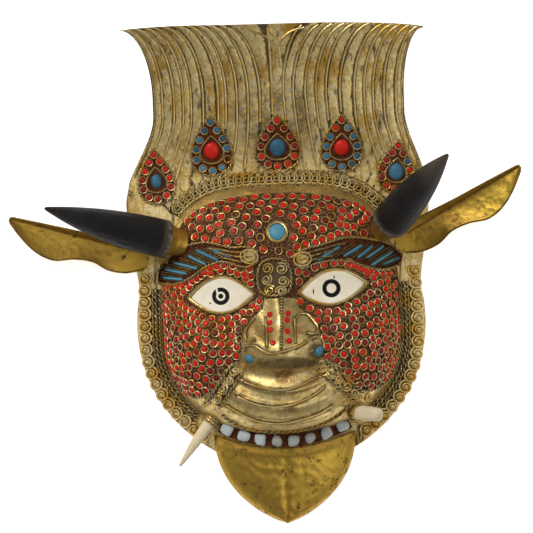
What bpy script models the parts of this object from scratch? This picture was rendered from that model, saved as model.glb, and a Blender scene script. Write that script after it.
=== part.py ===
"""A horned demon mask of gilt sheet copper, lying on its back, with the face up.

Lengths are metres. X runs across the face, Y from the chin up to the crown and Z out of the face.
The design is drawn about the middle of the face, and the last step moves the whole mask so that its
origin is the middle of its footprint. A flat sheet with a large hole carries everything: the beaten
face shell stands over the hole, the crown of hair rises from the sheet, and the rest sits on these.
"""
import math
from collections import Counter

import bmesh
import bpy
import numpy as np
from mathutils import Matrix, Vector
from mathutils.bvhtree import BVHTree

# Sheets and seats
SHEET = 0.0012
SHELL_WALL = 0.0014
GAP = 0.0003
SEAT_GAP = 0.00045
SEAT_REACH = 0.0016
CUTTER_DEPTH = 0.01

# Face outline: a rounded square above the eyes and a half oval below them
FACE_HALF_WIDTH = 0.084
FACE_TOP = 0.066
FACE_MIDDLE = -0.040
FACE_BOTTOM = -0.112
TOP_SQUARENESS = 3.4
FACE_DEPTH = 0.034
DOME_POWER = 3.2
DOME_POWER_BELOW = 2.0
DOME_ROUNDNESS = 0.55
DOME_BLEND = 0.05
NOSE_FOOT = -0.044

# Relief of the face: height above the plain dome, with its place and reach
FOREHEAD = dict(x=0.0, y=0.036, reach_x=0.056, reach_y=0.030, height=0.009)
CHEEK = dict(x=0.056, y=-0.047, reach_x=0.028, reach_y=0.030, height=0.013)
SOCKET = dict(x=0.039, y=-0.009, reach_x=0.027, reach_y=0.014, height=-0.004)
MUZZLE = dict(x=0.0, y=-0.086, reach_x=0.046, reach_y=0.024, height=0.014)
NOSE_ROOT_Y = 0.016
NOSE_BRIDGE_HEIGHT = 0.017
NOSE_BRIDGE_WIDTH = 0.0105
NOSE_BLEND = 4.0
BRIDGE_FADE = 0.02
BULB = dict(x=0.0005, y=-0.0485, reach_x=0.0265, reach_y=0.0140, height=0.022)
WING = dict(x=0.019, y=-0.035, reach_x=0.0090, reach_y=0.0095, height=0.009)
FOLD_HEIGHT = 0.0022
FOLD_SHARES = (0.49, 0.63, 0.81)
FOLD_WIDTH = 0.024
FOLD_REACH = 0.034
FOLD_END = 1.6

# Face shell's mesh: rings from the nose to the rim, with three rings to each smile fold
FACE_SPOKES = 46
FACE_RINGS = (0.10, 0.20, 0.29, 0.38, 0.45, 0.49, 0.53, 0.59, 0.63, 0.67, 0.74, 0.775, 0.81,
              0.85, 0.90, 0.945, 0.975, 0.992, 1.0)

# Frame and crown sheet
RIM_RADIUS = 0.1015
RIM_MIDDLE = -0.030
HOLE_MARGIN = 0.007
CROWN_WAIST = 0.130
CROWN_TOP = 0.1786
CROWN_TILT = 0.002
CROWN_DROOP = 0.0032
WAIST_LEFT = 0.0852
WAIST_RIGHT = 0.0910
SHOULDER = 0.1065
SHOULDER_Y = 0.058
FLARE = 0.0250
FLARE_LEFT = 0.0215
FLARE_RIGHT = 0.0150
FLARE_POWER = 6.0
CROWN_LEAN = 0.026
LEAN_FROM = 0.070
CROWN_CROWNING = 0.005
STRANDS = 12
STRAND_HEIGHT = 0.0014
STRANDS_END = 0.118
MIDDLE_STRAND = 0.10
CROWN_ROWS = (0.072, 0.084, 0.100, STRANDS_END)
FRAME_COLUMNS = 5
FRAME_STEPS = 27
FRAME_START = 39.6
FRAME_SPREAD_FROM = 0.21
FRAME_SPREAD_POWER = 1.6
LEAN_POWER = 1.8

# Bands on the sheet around the face
BAND_WIDTH = 0.0092
BAND_THICK = 0.0024
BAND_FROM = 44.0
BAND_PROFILE = (0.0, 0.5, 1.0)
BAND_RISE = (1.0, 0.75, 1.0)
BORDER_WIDTH = 0.0125
BORDER_THICK = 0.0022
BORDER_FROM = 9.2
BORDER_TO = -46.0

# Chin plate
CHIN_HALF_WIDTH = 0.0495
CHIN_TOP = -0.1180
CHIN_TIP = -0.1716
CHIN_ARCH = 0.0105
CHIN_LIP_HEIGHT = 0.0205
CHIN_DIP_HEIGHT = 0.015
CHIN_TIP_HEIGHT = 0.006
CHIN_CREASE = 0.0012

# Teeth
TEETH = 8
TEETH_HALF_SPAN = 0.0405
TEETH_ARC_Y = -0.1125
TEETH_ARC_RISE = 0.0090
TOOTH_WIDTH = 0.0092
TOOTH_HEIGHT = 0.0088
TOOTH_THICK = 0.0030
TOOTH_SQUARENESS = 2.8
TOOTH_ROUNDING = 0.55
GUM_ABOVE = 0.0058
GUM_BELOW = 0.0040
GUM_THICK = 0.0050
GUM_HEIGHT = 0.0225
GUM_FALL = 0.0085

# Horns, with the place of each base, the way it points and how far it leans out of the face
HORN_RADIUS = 0.0135
HORN_LENGTH = 0.0925
HORN_SIDES = 12
HORN_TIP = 0.0010
HORN_TAPER = 2.4
HORN_SWELL = 1.05
HORN_LEFT = dict(base=(-0.0790, 0.0310, 0.0235), turn=165.7, lean=22.5, bow=-0.003)
HORN_RIGHT = dict(base=(0.0782, 0.0385, 0.0270), turn=48.5, lean=51.0, bow=0.0)
COLLAR_LENGTH = 0.0135
COLLAR_FLARE = (0.66, 0.70, 0.78, 0.93)
PEG_RADIUS = 0.0065
PEG_LENGTH = 0.0030

# Ears, with the place of each root, the way it points and how its tip rises
EAR_LENGTH = 0.1015
EAR_SHEET = 0.0012
EAR_WIDTHS = (0.010, 0.0165, 0.0180, 0.0150, 0.0165, 0.0208, 0.0190, 0.0120, 0.0016)
EAR_FLANGES = (0.0070, 0.0065, 0.0055, 0.0045, 0.0036, 0.0030, 0.0024, 0.0018, 0.0010)
EAR_TAB = 0.008
EAR_HOLLOW = 0.004
EAR_FLANGE_RISE = 0.006
EAR_LEFT = dict(root=(-0.0905, 0.0205), turn=163.6, rise=0.020)
EAR_RIGHT = dict(root=(0.0815, 0.0250), turn=29.2, rise=0.024)

# Tusks and their sockets: the left one is pointed, and the right one is blunt and shorter
TUSK_LENGTH = 0.0365
TUSK_RADIUS = 0.0043
TUSK_TIP = 0.0010
BLUNT_LENGTH = 0.025
BLUNT_RADIUS = 0.0054
BLUNT_TIP = 0.0046
TUSK_SIDES = 8
TUSK_TAPER = 1.5
TUSK_LEFT = dict(base=(-0.0530, -0.0990, 0.0115), turn=232.0, lean=7.0, bow=0.001)
TUSK_RIGHT = dict(base=(0.0530, -0.0945, 0.0250), turn=-4.0, lean=58.0, bow=0.0)
SOCKET_LENGTH = 0.007
SOCKET_WALL = 0.0012
SOCKET_SEAT = 0.0025

# Eyes: almonds given by their two corners and the rise of the lids
EYE_LEFT = dict(inner=(-0.0195, -0.0095), outer=(-0.0625, -0.0105), upper=0.0130, lower=0.0115)
EYE_RIGHT = dict(inner=(0.0140, -0.0090), outer=(0.0592, -0.0045), upper=0.0125, lower=0.0110)
EYE_THICK = 0.0016
EYE_SWELL = 0.0012

# Brows, lip strips: middle line from the inner end outwards, and the half width along it
BROW_LEFT = dict(line=((-0.0185, 0.0165), (-0.0510, 0.0185), (-0.0800, -0.0005)), width=0.0062)
BROW_RIGHT = dict(line=((0.0125, 0.0135), (0.0500, 0.0180), (0.0820, 0.0125)), width=0.0064)
BROW_THICK = 0.0018
LIP_STRIP_LEFT = dict(line=((-0.0318, -0.0630), (-0.0390, -0.0740), (-0.0465, -0.0855)), width=0.0044)
LIP_STRIP_RIGHT = dict(line=((0.0268, -0.0610), (0.0400, -0.0690), (0.0530, -0.0800)), width=0.0044)
LIP_STRIP_THICK = 0.0018

# Nose-root plaque, stones and jewels
PLAQUE = dict(x=-0.0040, y=0.0020, width=0.0230, height=0.0262)
PLAQUE_THICK = 0.0016
FOREHEAD_STONE = dict(x=-0.0010, y=0.0335, radius=0.0058)
NOSTRIL_STONES = dict(left=(-0.0218, -0.0500), right=(0.0228, -0.0480), half_length=0.0032, half_width=0.0022)
STONE_SWELL = 0.0030
STONE_EDGE = 1.05
TRAY_THICK = 0.0016
TRAY_DISH = 0.25
JEWEL_1 = dict(x=-0.0848, y=0.0756, width=0.0262, height=0.0395, turn=4.0, stone_x=0.0038, stone_y=0.0050)
JEWEL_2 = dict(x=-0.0450, y=0.0957, width=0.0296, height=0.0425, turn=1.0, stone_x=0.0054, stone_y=0.0060)
JEWEL_3 = dict(x=0.0015, y=0.0964, width=0.0322, height=0.0398, turn=0.0, stone_x=0.0058, stone_y=0.0062)
JEWEL_4 = dict(x=0.0465, y=0.0950, width=0.0294, height=0.0410, turn=-1.0, stone_x=0.0054, stone_y=0.0056)
JEWEL_5 = dict(x=0.0846, y=0.0770, width=0.0262, height=0.0380, turn=-6.0, stone_x=0.0052, stone_y=0.0060)
JEWELS = (JEWEL_1, JEWEL_2, JEWEL_3, JEWEL_4, JEWEL_5)
STONE_DROP = 0.0035
DROP_FULLNESS = 0.77


def clear_scene():
    """Takes away every object that was there before."""
    for old in list(bpy.data.objects):
        bpy.data.objects.remove(old, do_unlink=True)


def make_material(name, color, roughness, metallic):
    material = bpy.data.materials.new(name)
    material.use_nodes = True
    shader = material.node_tree.nodes["Principled BSDF"]
    shader.inputs["Base Color"].default_value = (*color, 1.0)
    shader.inputs["Roughness"].default_value = roughness
    shader.inputs["Metallic"].default_value = metallic
    return material


def make_object(name, points, faces, material):
    """A mesh object whose faces all point outwards."""
    mesh = bpy.data.meshes.new(name)
    mesh.from_pydata([tuple(map(float, point)) for point in points], [], faces)
    work = bmesh.new()
    work.from_mesh(mesh)
    bmesh.ops.recalc_face_normals(work, faces=work.faces)
    work.to_mesh(mesh)
    work.free()
    mesh.shade_smooth()
    mesh.set_sharp_from_angle(angle=math.radians(40))
    mesh.materials.append(material)
    piece = bpy.data.objects.new(name, mesh)
    bpy.context.scene.collection.objects.link(piece)
    return piece


def grid_faces(rows, columns, wrap=False):
    """Quads over points that are stored row by row; wrap joins the last column to the first."""
    faces = []
    for row in range(rows - 1):
        for column in range(columns if wrap else columns - 1):
            following = (column + 1) % columns
            faces.append((row * columns + column, row * columns + following,
                          (row + 1) * columns + following, (row + 1) * columns + column))
    return faces


def fan_faces(rings, spokes):
    """Faces of a disc: point 0 is its middle, and each ring has the same number of spokes."""
    faces = [(0, 1 + spoke, 1 + (spoke + 1) % spokes) for spoke in range(spokes)]
    ring_faces = grid_faces(rings, spokes, wrap=True)
    return faces + [tuple(1 + index for index in reversed(face)) for face in ring_faces]


def close_between(front, back, faces):
    """A closed body: the front skin, the matching back skin and a wall along every free edge."""
    count = len(front)
    solid = [tuple(face) for face in faces]
    solid += [tuple(index + count for index in reversed(face)) for face in faces]
    sides = Counter(tuple(sorted(pair)) for face in faces for pair in zip(face, face[1:] + face[:1]))
    solid += [(a, b, b + count, a + count) for (a, b), uses in sides.items() if uses == 1]
    return np.vstack([front, back]), solid


def smoothstep(value):
    value = np.clip(value, 0.0, 1.0)
    return value * value * (3 - 2 * value)


def hill(x, y, shape, side=1.0, power=1.0):
    """A smooth hill: exp(-q**power), with q the squared distance in units of its two reaches."""
    q = ((x - side * shape["x"]) / shape["reach_x"]) ** 2 + ((y - shape["y"]) / shape["reach_y"]) ** 2
    return shape["height"] * np.exp(-q ** power)


def face_outline(angle, margin=0.0):
    """A point of the face's rim at this angle about its middle, moved outwards by margin."""
    cosine = np.cos(angle)
    sine = np.sin(angle)
    power = np.where(sine > 0, TOP_SQUARENESS, 2.0)
    reach_y = np.where(sine > 0, FACE_TOP - FACE_MIDDLE, FACE_MIDDLE - FACE_BOTTOM)
    x = np.sign(cosine) * FACE_HALF_WIDTH * np.abs(cosine) ** (2 / power)
    y = np.sign(sine) * reach_y * np.abs(sine) ** (2 / power)
    out_x = np.sign(x) * np.abs(x / FACE_HALF_WIDTH) ** (power - 1) / FACE_HALF_WIDTH
    out_y = np.sign(y) * np.abs(y / reach_y) ** (power - 1) / reach_y
    length = np.hypot(out_x, out_y)
    return x + margin * out_x / length, FACE_MIDDLE + y + margin * out_y / length


def face_radius(x, y):
    """0 at the face's middle and 1 on its rim."""
    above = y > FACE_MIDDLE
    power = np.where(above, TOP_SQUARENESS, 2.0)
    reach_y = np.where(above, FACE_TOP - FACE_MIDDLE, FACE_MIDDLE - FACE_BOTTOM)
    total = np.abs(x / FACE_HALF_WIDTH) ** power + np.abs((y - FACE_MIDDLE) / reach_y) ** power
    return total ** (1 / power)


def lip_share(x, y):
    """How far a point lies from the nose's foot to the lower rim, along curves like the rim's."""
    drop = NOSE_FOOT - FACE_BOTTOM
    bend = (FACE_MIDDLE - FACE_BOTTOM) / (2 * FACE_HALF_WIDTH ** 2)
    below = y - NOSE_FOOT
    return (-below + np.sqrt(below ** 2 + 4 * drop * bend * x ** 2)) / (2 * drop)


def face_height(x, y):
    """Height of the face above its rim: a dome, with the swellings and hollows of the features."""
    radius = np.clip(face_radius(x, y), 0.0, 1.0)
    lower = smoothstep((FACE_MIDDLE - y) / DOME_BLEND)
    dome = (1 - radius ** (DOME_POWER + DOME_POWER_BELOW * lower)) ** DOME_ROUNDNESS
    height = FACE_DEPTH * dome
    height = height + dome * hill(x, y, FOREHEAD)
    for side in (-1.0, 1.0):
        height = height + dome * (hill(x, y, CHEEK, side) + hill(x, y, SOCKET, side))
        height = height + hill(x, y, WING, side)
    height = height + dome * hill(x, y, MUZZLE, power=1.5)
    run = smoothstep((NOSE_ROOT_Y - y) / (NOSE_ROOT_Y - NOSE_FOOT))
    run = run * smoothstep((y - NOSE_FOOT) / BRIDGE_FADE + 1.3)
    bridge = NOSE_BRIDGE_HEIGHT * run * np.exp(-(x / NOSE_BRIDGE_WIDTH) ** 2)
    bulb = hill(x, y, BULB, power=1.5)
    height = height + (bridge ** NOSE_BLEND + bulb ** NOSE_BLEND) ** (1 / NOSE_BLEND)
    share = lip_share(x, y)
    fade = smoothstep(FOLD_END - np.abs(x) / FOLD_REACH) * (y < NOSE_FOOT)
    for fold in FOLD_SHARES:
        height = height + FOLD_HEIGHT * fade * np.exp(-((share - fold) / FOLD_WIDTH) ** 2)
    return height


def face_points(outwards=0.0):
    """The face as a disc of points from the nose to the rim, moved along its normals by outwards."""
    angles = np.arange(FACE_SPOKES) / FACE_SPOKES * 2 * np.pi + math.pi / FACE_SPOKES
    rim_x, rim_y = face_outline(angles)
    shares = np.array(FACE_RINGS)[:, None]
    x = np.concatenate([[0.0], (shares * rim_x).ravel()])
    y = np.concatenate([[NOSE_FOOT], (NOSE_FOOT + shares * (rim_y - NOSE_FOOT)).ravel()])
    z = SHEET + GAP + face_height(x, y)
    step = 0.0004
    slope_x = (face_height(x + step, y) - face_height(x - step, y)) / (2 * step)
    slope_y = (face_height(x, y + step) - face_height(x, y - step)) / (2 * step)
    normal = np.stack([-slope_x, -slope_y, np.ones_like(x)], axis=1)
    normal /= np.linalg.norm(normal, axis=1)[:, None]
    rim = slice(len(x) - FACE_SPOKES, len(x))
    flat = normal[rim] * (1, 1, 0)
    normal[rim] = flat / np.linalg.norm(flat, axis=1)[:, None]
    return np.stack([x, y, z], axis=1) + outwards * normal


def make_face(material):
    """The beaten face: one closed shell of even wall, open at the back."""
    points, faces = close_between(face_points(), face_points(-SHELL_WALL), fan_faces(len(FACE_RINGS), FACE_SPOKES))
    return make_object("face_shell", points, faces, material)


def make_face_cutter(material):
    """The space under the face with its clearance, which trims the pieces that butt against it."""
    top = face_points(GAP)
    bottom = top.copy()
    bottom[:, 2] = -CUTTER_DEPTH
    points, faces = close_between(top, bottom, fan_faces(len(FACE_RINGS), FACE_SPOKES))
    cutter = make_object("face_cutter", points, faces, material)
    cutter.hide_render = True
    cutter.display_type = "WIRE"
    return cutter


def trim(piece, cutter):
    """Cuts the cutter's space out of the piece."""
    cut = piece.modifiers.new("trim", "BOOLEAN")
    cut.operation = "DIFFERENCE"
    cut.solver = "EXACT"
    cut.object = cutter


class Seat:
    """Tells how high the pieces made so far stand, so that the next one rests on them."""

    def __init__(self):
        self.trees = []

    def add(self, piece):
        points = [vertex.co for vertex in piece.data.vertices]
        faces = [tuple(face.vertices) for face in piece.data.polygons]
        self.trees.append(BVHTree.FromPolygons(points, faces))
        return piece

    def height(self, x, y):
        """The highest point within SEAT_REACH of this place, with the seat's clearance."""
        found = []
        for turn in range(9):
            reach = SEAT_REACH if turn else 0.0
            angle = turn * math.pi / 4
            start = Vector((x + reach * math.cos(angle), y + reach * math.sin(angle), 0.3))
            for tree in self.trees:
                hit = tree.ray_cast(start, Vector((0, 0, -1)))[0]
                if hit is not None:
                    found.append(hit.z)
        return max(found, default=0.0) + SEAT_GAP

    def heights(self, points):
        return np.array([self.height(x, y) for x, y in points])


def direction_of(turn, lean):
    """Unit vector at this turn about Z from +X, leaning out of the face, both in degrees."""
    turn = math.radians(turn)
    lean = math.radians(lean)
    return np.array([math.cos(turn) * math.cos(lean), math.sin(turn) * math.cos(lean), math.sin(lean)])


def ring_about(centre, along, radius, sides):
    """A regular polygon square to a direction, with one corner towards the back."""
    across = np.cross(along, (0, 0, 1))
    across /= np.linalg.norm(across)
    upward = np.cross(across, along)
    angles = (np.arange(sides) / sides * 2 * np.pi)[:, None]
    return centre + radius * (np.cos(angles) * -upward + np.sin(angles) * across)


def stack_of_rings(name, rings, sides, material):
    """A closed body through rings of equal count, capped at both ends."""
    faces = grid_faces(len(rings), sides, wrap=True)
    faces.append(tuple(range(sides)))
    faces.append(tuple(reversed(range((len(rings) - 1) * sides, len(rings) * sides))))
    return make_object(name, np.vstack(rings), faces, material)


def spike_rings(shape, start, length, radius, tip, sides, taper, swell):
    """Rings of a horn or tusk, tapering to its tip and bowed sideways by the square of the way out."""
    along = direction_of(shape["turn"], shape["lean"])
    sideways = np.cross((0, 0, 1), along)
    sideways /= np.linalg.norm(sideways)
    base = np.array(shape["base"])
    rings = []
    for share in (0.0, 0.14, 0.28, 0.42, 0.56, 0.70, 0.82, 0.92, 1.0):
        centre = base + along * (start + (length - start) * share)
        centre = centre + sideways * shape["bow"] * share ** 2
        heading = along * length + sideways * 2 * shape["bow"] * share
        heading /= np.linalg.norm(heading)
        size = tip + (radius - tip) * (1 - share ** taper) ** swell
        rings.append(ring_about(centre, heading if share else along, size, sides))
    return rings


def turned_rings(shape, profile, sides):
    """Rings about the shape's heading, for a profile of (radius, reach from the base)."""
    along = direction_of(shape["turn"], shape["lean"])
    return [ring_about(np.array(shape["base"]) + along * reach, along, size, sides) for size, reach in profile]


def make_horn(name, shape, material):
    """A horn with a hole in its foot for the collar's peg."""
    hole = PEG_RADIUS + GAP
    rings = turned_rings(shape, ((hole, PEG_LENGTH + GAP), (hole, 0.0)), HORN_SIDES)
    rings += spike_rings(shape, 0.0, HORN_LENGTH, HORN_RADIUS, HORN_TIP, HORN_SIDES, HORN_TAPER, HORN_SWELL)
    return stack_of_rings(name, rings, HORN_SIDES, material)


def make_collar(name, shape, material):
    """A collar that spreads from the face to the horn's foot, with a peg that holds the horn."""
    steps = np.linspace(-COLLAR_LENGTH, -GAP, len(COLLAR_FLARE))
    profile = [(HORN_RADIUS * flare, reach) for flare, reach in zip(COLLAR_FLARE, steps)]
    profile += [(PEG_RADIUS, -GAP), (PEG_RADIUS, PEG_LENGTH)]
    return stack_of_rings(name, turned_rings(shape, profile, HORN_SIDES), HORN_SIDES, material)


def make_tusk(name, shape, length, radius, tip, material):
    """A tusk whose foot stands in its socket."""
    rings = spike_rings(shape, GAP - SOCKET_SEAT, length, radius, tip, TUSK_SIDES, TUSK_TAPER, 1.0)
    return stack_of_rings(name, rings, TUSK_SIDES, material)


def make_socket(name, shape, radius, material):
    """A tapered cup around the foot of a tusk, with a shallow recess that holds the foot."""
    inner = radius + GAP
    outer = inner + SOCKET_WALL
    profile = ((outer * 0.80, -SOCKET_LENGTH), (outer * 0.97, -SOCKET_LENGTH * 0.45), (outer, 0.0),
               (inner, 0.0), (inner, -SOCKET_SEAT))
    return stack_of_rings(name, turned_rings(shape, profile, TUSK_SIDES), TUSK_SIDES, material)


def normals_of(grid):
    """Unit normals of a grid of points, from the run of its rows and columns."""
    down = np.gradient(grid, axis=0)
    across = np.gradient(grid, axis=1)
    normal = np.cross(across, down)
    normal /= np.linalg.norm(normal, axis=2)[:, :, None]
    return normal * np.sign(normal[:, :, 2:3] + 1e-9)


def make_plate(name, outline, centre, seat, thickness, material, rings=(0.55, 1.0)):
    """A disc that follows what it lies on. thickness(share) is its height, 0 in the middle to 1 at the edge."""
    outline = np.array(outline)
    centre = np.array(centre)
    flat = np.vstack([[centre]] + [centre + share * (outline - centre) for share in rings])
    shares = np.concatenate([[0.0]] + [np.full(len(outline), share) for share in rings])
    foot = seat.heights(flat)
    top = foot + np.array([thickness(share) for share in shares])
    faces = fan_faces(len(rings), len(outline))
    points, solid = close_between(np.column_stack([flat, top]), np.column_stack([flat, foot]), faces)
    return seat.add(make_object(name, points, solid, material))


def make_strip(name, middle, half_width, seat, thickness, material, across=(-1.0, 0.0, 1.0)):
    """A strip along a middle line that follows what it lies on; its top bulges by thickness(share)."""
    middle = np.array(middle)
    run = np.gradient(middle, axis=0)
    run /= np.linalg.norm(run, axis=1)[:, None]
    sideways = np.column_stack([-run[:, 1], run[:, 0]])
    flat = middle[:, None, :] + sideways[:, None, :] * np.array(across)[None, :, None] * half_width[:, None, None]
    flat = flat.reshape(-1, 2)
    foot = seat.heights(flat)
    top = foot + np.tile([thickness(share) for share in across], len(middle))
    faces = grid_faces(len(middle), len(across))
    points, solid = close_between(np.column_stack([flat, top]), np.column_stack([flat, foot]), faces)
    return seat.add(make_object(name, points, solid, material))


def bezier(line, count):
    """Points along the curve that starts and ends on the outer two points and bends to the middle one."""
    start, bend, end = np.array(line)
    share = np.linspace(0, 1, count)[:, None]
    control = 2 * bend - (start + end) / 2
    return (1 - share) ** 2 * start + 2 * share * (1 - share) * control + share ** 2 * end


def almond(shape, count=10):
    """An eye's outline: two lids that rise and fall as a sine between the corners."""
    inner = np.array(shape["inner"])
    outer = np.array(shape["outer"])
    share = np.arange(count) / count
    along = inner + share[:, None] * (outer - inner)
    back = outer + share[:, None] * (inner - outer)
    rise = np.sin(np.pi * share)[:, None] ** 0.85 * np.array([[0.0, 1.0]])
    return np.vstack([along + rise * shape["upper"], back - rise * shape["lower"]])


def teardrop(jewel, count=18):
    """A drop with its point up: x goes as sin(t)*sin(t/2) and y as cos(t)."""
    angle = np.arange(count) / count * 2 * np.pi
    x = jewel["width"] / 2 * np.sin(angle) * np.sin(angle / 2) / DROP_FULLNESS
    y = jewel["height"] / 2 * np.cos(angle)
    turn = math.radians(jewel["turn"])
    return np.column_stack([jewel["x"] + x * math.cos(turn) - y * math.sin(turn),
                            jewel["y"] + x * math.sin(turn) + y * math.cos(turn)])


def oval(x, y, half_width, half_height, turn=0.0, count=10, squareness=2.0):
    """A superellipse about a point, turned by some degrees."""
    angle = (np.arange(count) + 0.5) / count * 2 * np.pi
    across = half_width * np.sign(np.cos(angle)) * np.abs(np.cos(angle)) ** (2 / squareness)
    along = half_height * np.sign(np.sin(angle)) * np.abs(np.sin(angle)) ** (2 / squareness)
    turn = math.radians(turn)
    return np.column_stack([x + across * math.cos(turn) - along * math.sin(turn),
                            y + across * math.sin(turn) + along * math.cos(turn)])


def crown_height(x, y):
    """The sheet lies flat behind the face and leans forward towards the crown's top."""
    share = np.clip((y - LEAN_FROM) / (CROWN_TOP - LEAN_FROM), 0, 1.2)
    crowning = CROWN_CROWNING * smoothstep(share * 2.2) * (1 - (x / SHOULDER) ** 2)
    return CROWN_LEAN * share ** LEAN_POWER + crowning


def crown_half(side):
    """One half of the crown, as rows of points from its foot to its top edge.

    Columns follow the strands of hair, ridge and valley in turn. Above the waist a strand is a
    quarter of an ellipse: it leaves the waist upright and reaches the top edge lying nearly flat.
    The lowest row runs along the hole behind the face, then out to the sheet's edge.
    """
    waist, edge_flare = (WAIST_LEFT, FLARE_LEFT) if side < 0 else (WAIST_RIGHT, FLARE_RIGHT)
    share = np.arange(2 * STRANDS + 1) / (2 * STRANDS)
    inside = len(share) - FRAME_COLUMNS
    corner = math.radians(FRAME_START)
    hole = np.column_stack(face_outline(np.linspace(math.pi / 2, corner, inside + 1), -HOLE_MARGIN))
    outwards = np.linspace(0, 1, FRAME_COLUMNS)[:, None]
    foot = np.vstack([hole[:-1], hole[-1] + outwards * (frame_edge(corner) - hole[-1])])
    low = np.array(CROWN_ROWS)[:, None]
    reach = SHOULDER + (waist - SHOULDER) * smoothstep((low - SHOULDER_Y) / (STRANDS_END - SHOULDER_Y))
    turn = np.linspace(0, math.pi / 2, 7)[:, None]
    flare = FLARE + (edge_flare - FLARE) * share ** FLARE_POWER
    flare = flare * smoothstep(share / MIDDLE_STRAND)
    high_x = share * waist + flare * (1 - np.cos(turn))
    rise = CROWN_TOP - CROWN_WAIST - side * CROWN_TILT * share - CROWN_DROOP * share ** 3
    x = side * np.vstack([foot[:, 0], reach * share, high_x])
    y = np.vstack([foot[:, 1], low + 0 * share, CROWN_WAIST + rise * np.sin(turn)])
    ridge = STRAND_HEIGHT * (np.arange(len(share)) % 2) * (y > STRANDS_END)
    return np.stack([x, y, SHEET + crown_height(x, y) + ridge, crown_height(x, y)], axis=-1)


def frame_edge(angle):
    """The sheet's outer edge: a circle about the lower face that spreads towards the shoulders."""
    spread = np.clip((angle - FRAME_SPREAD_FROM) / (math.radians(FRAME_START) - FRAME_SPREAD_FROM), 0, 1)
    shoulder = math.hypot(SHOULDER, SHOULDER_Y - RIM_MIDDLE)
    radius = RIM_RADIUS + (shoulder - RIM_RADIUS) * spread ** FRAME_SPREAD_POWER
    return np.array([radius * math.cos(angle), RIM_MIDDLE + radius * math.sin(angle)])


def frame_rows():
    """The frame around the lower face, as rows from the outer edge to the hole, right round the chin."""
    start = math.radians(FRAME_START)
    rows = []
    for angle in np.linspace(start, -math.pi - start, FRAME_STEPS):
        side = 1.0 if angle > -math.pi / 2 else -1.0
        mirrored = angle if side > 0 else -math.pi - angle
        edge = frame_edge(mirrored) * (side, 1)
        hole = np.array(face_outline(mirrored, -HOLE_MARGIN)) * (side, 1)
        share = np.linspace(0, 1, FRAME_COLUMNS)[:, None]
        flat = edge + share * (hole - edge)
        rows.append(np.column_stack([flat, np.full(len(flat), SHEET), np.zeros(len(flat))]))
    return np.array(rows)


def weld(blocks):
    """Joins grids of points that share their border points into one set of points and faces."""
    points = np.vstack([block.reshape(-1, block.shape[-1]) for block in blocks])
    first, index = np.unique(np.round(points[:, :2] * 1e5), axis=0, return_index=True, return_inverse=True)[1:]
    index = index.ravel()
    faces = []
    start = 0
    for block in blocks:
        for face in grid_faces(*block.shape[:2]):
            faces.append(tuple(int(index[start + corner]) for corner in face))
        start += block.shape[0] * block.shape[1]
    return points[first], faces


def make_crown(material):
    """The crown and the frame around the face: one sheet, with a hole behind the face."""
    points, faces = weld([crown_half(-1), crown_half(1), frame_rows()])
    points, solid = close_between(points[:, [0, 1, 2]], points[:, [0, 1, 3]], faces)
    return make_object("crown_sheet", points, solid, material)


def make_chin(material):
    """The chin: a bowed tongue-shaped plate with a rolled lip at the top and a crease down its middle."""
    across = np.sin(np.linspace(-math.pi / 2, math.pi / 2, 11))[None, :]
    down = np.array([0, 0.04, 0.10, 0.19, 0.33, 0.50, 0.67, 0.82, 0.93, 0.99])[:, None]
    half_width = CHIN_HALF_WIDTH * (1 - down ** 2.2) ** 0.75
    top = CHIN_TOP + CHIN_ARCH * across ** 2
    x = half_width * across
    y = top + (CHIN_TIP - top) * down
    lip = (CHIN_LIP_HEIGHT - CHIN_DIP_HEIGHT) * np.exp(-(down / 0.07) ** 2)
    swell = CHIN_DIP_HEIGHT + (CHIN_TIP_HEIGHT - CHIN_DIP_HEIGHT) * down ** 1.5 + lip
    crease = CHIN_CREASE * smoothstep(down / 0.25) * np.exp(-(across / 0.1) ** 2)
    level = SHEET + GAP
    z = level + (swell - crease) * (1 - across ** 2) ** 0.7
    front = np.stack([x, y, z], axis=-1)
    back = front - SHEET * normals_of(front)
    back[:, :, 2] = np.maximum(back[:, :, 2], level)
    front[:, :, 2] = np.maximum(front[:, :, 2], level + SHEET / 2)
    faces = grid_faces(*front.shape[:2])
    points, solid = close_between(front.reshape(-1, 3), back.reshape(-1, 3), faces)
    return make_object("chin_plate", points, solid, material)


def make_ear(name, shape, side, material):
    """An ear: a long leaf of sheet, hollow below its fold, with a flange folded up above it."""
    stations = len(EAR_WIDTHS)
    out = np.linspace(0, 1, stations)[:, None]
    widths = np.array(EAR_WIDTHS)[:, None]
    flanges = np.array(EAR_FLANGES)[:, None]
    across = np.array([-1.0, -0.66, -0.33, 0.0, 0.5, 1.0])[None, :]
    turn = math.radians(shape["turn"])
    heading = np.array([math.cos(turn), math.sin(turn)])
    upward = np.array([-heading[1], heading[0]]) * side
    reach = np.where(across < 0, across * widths, across * flanges)
    flat = np.array(shape["root"]) + out[:, :, None] * EAR_LENGTH * heading + reach[:, :, None] * upward
    free = smoothstep((out - EAR_TAB / EAR_LENGTH) / 0.35)
    lift = shape["rise"] * np.clip(out - EAR_TAB / EAR_LENGTH, 0, 1) ** 1.3
    hollow = EAR_HOLLOW * free * across ** 2 * (across < 0)
    flange = EAR_FLANGE_RISE * free * across * (across > 0) * np.sin(np.pi * (0.15 + 0.8 * out))
    z = SHEET + GAP + lift + hollow + flange
    back = np.concatenate([flat, z[:, :, None]], axis=-1)
    front = back + np.array([0, 0, EAR_SHEET])
    faces = grid_faces(stations, across.shape[1])
    points, solid = close_between(front.reshape(-1, 3), back.reshape(-1, 3), faces)
    return make_object(name, points, solid, material)


def band_line(start, end, count, margin):
    """Points beside the face's rim, at this distance outside it, between two angles in degrees."""
    angles = np.radians(np.linspace(start, end, count))
    return np.column_stack(face_outline(angles, margin))


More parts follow.
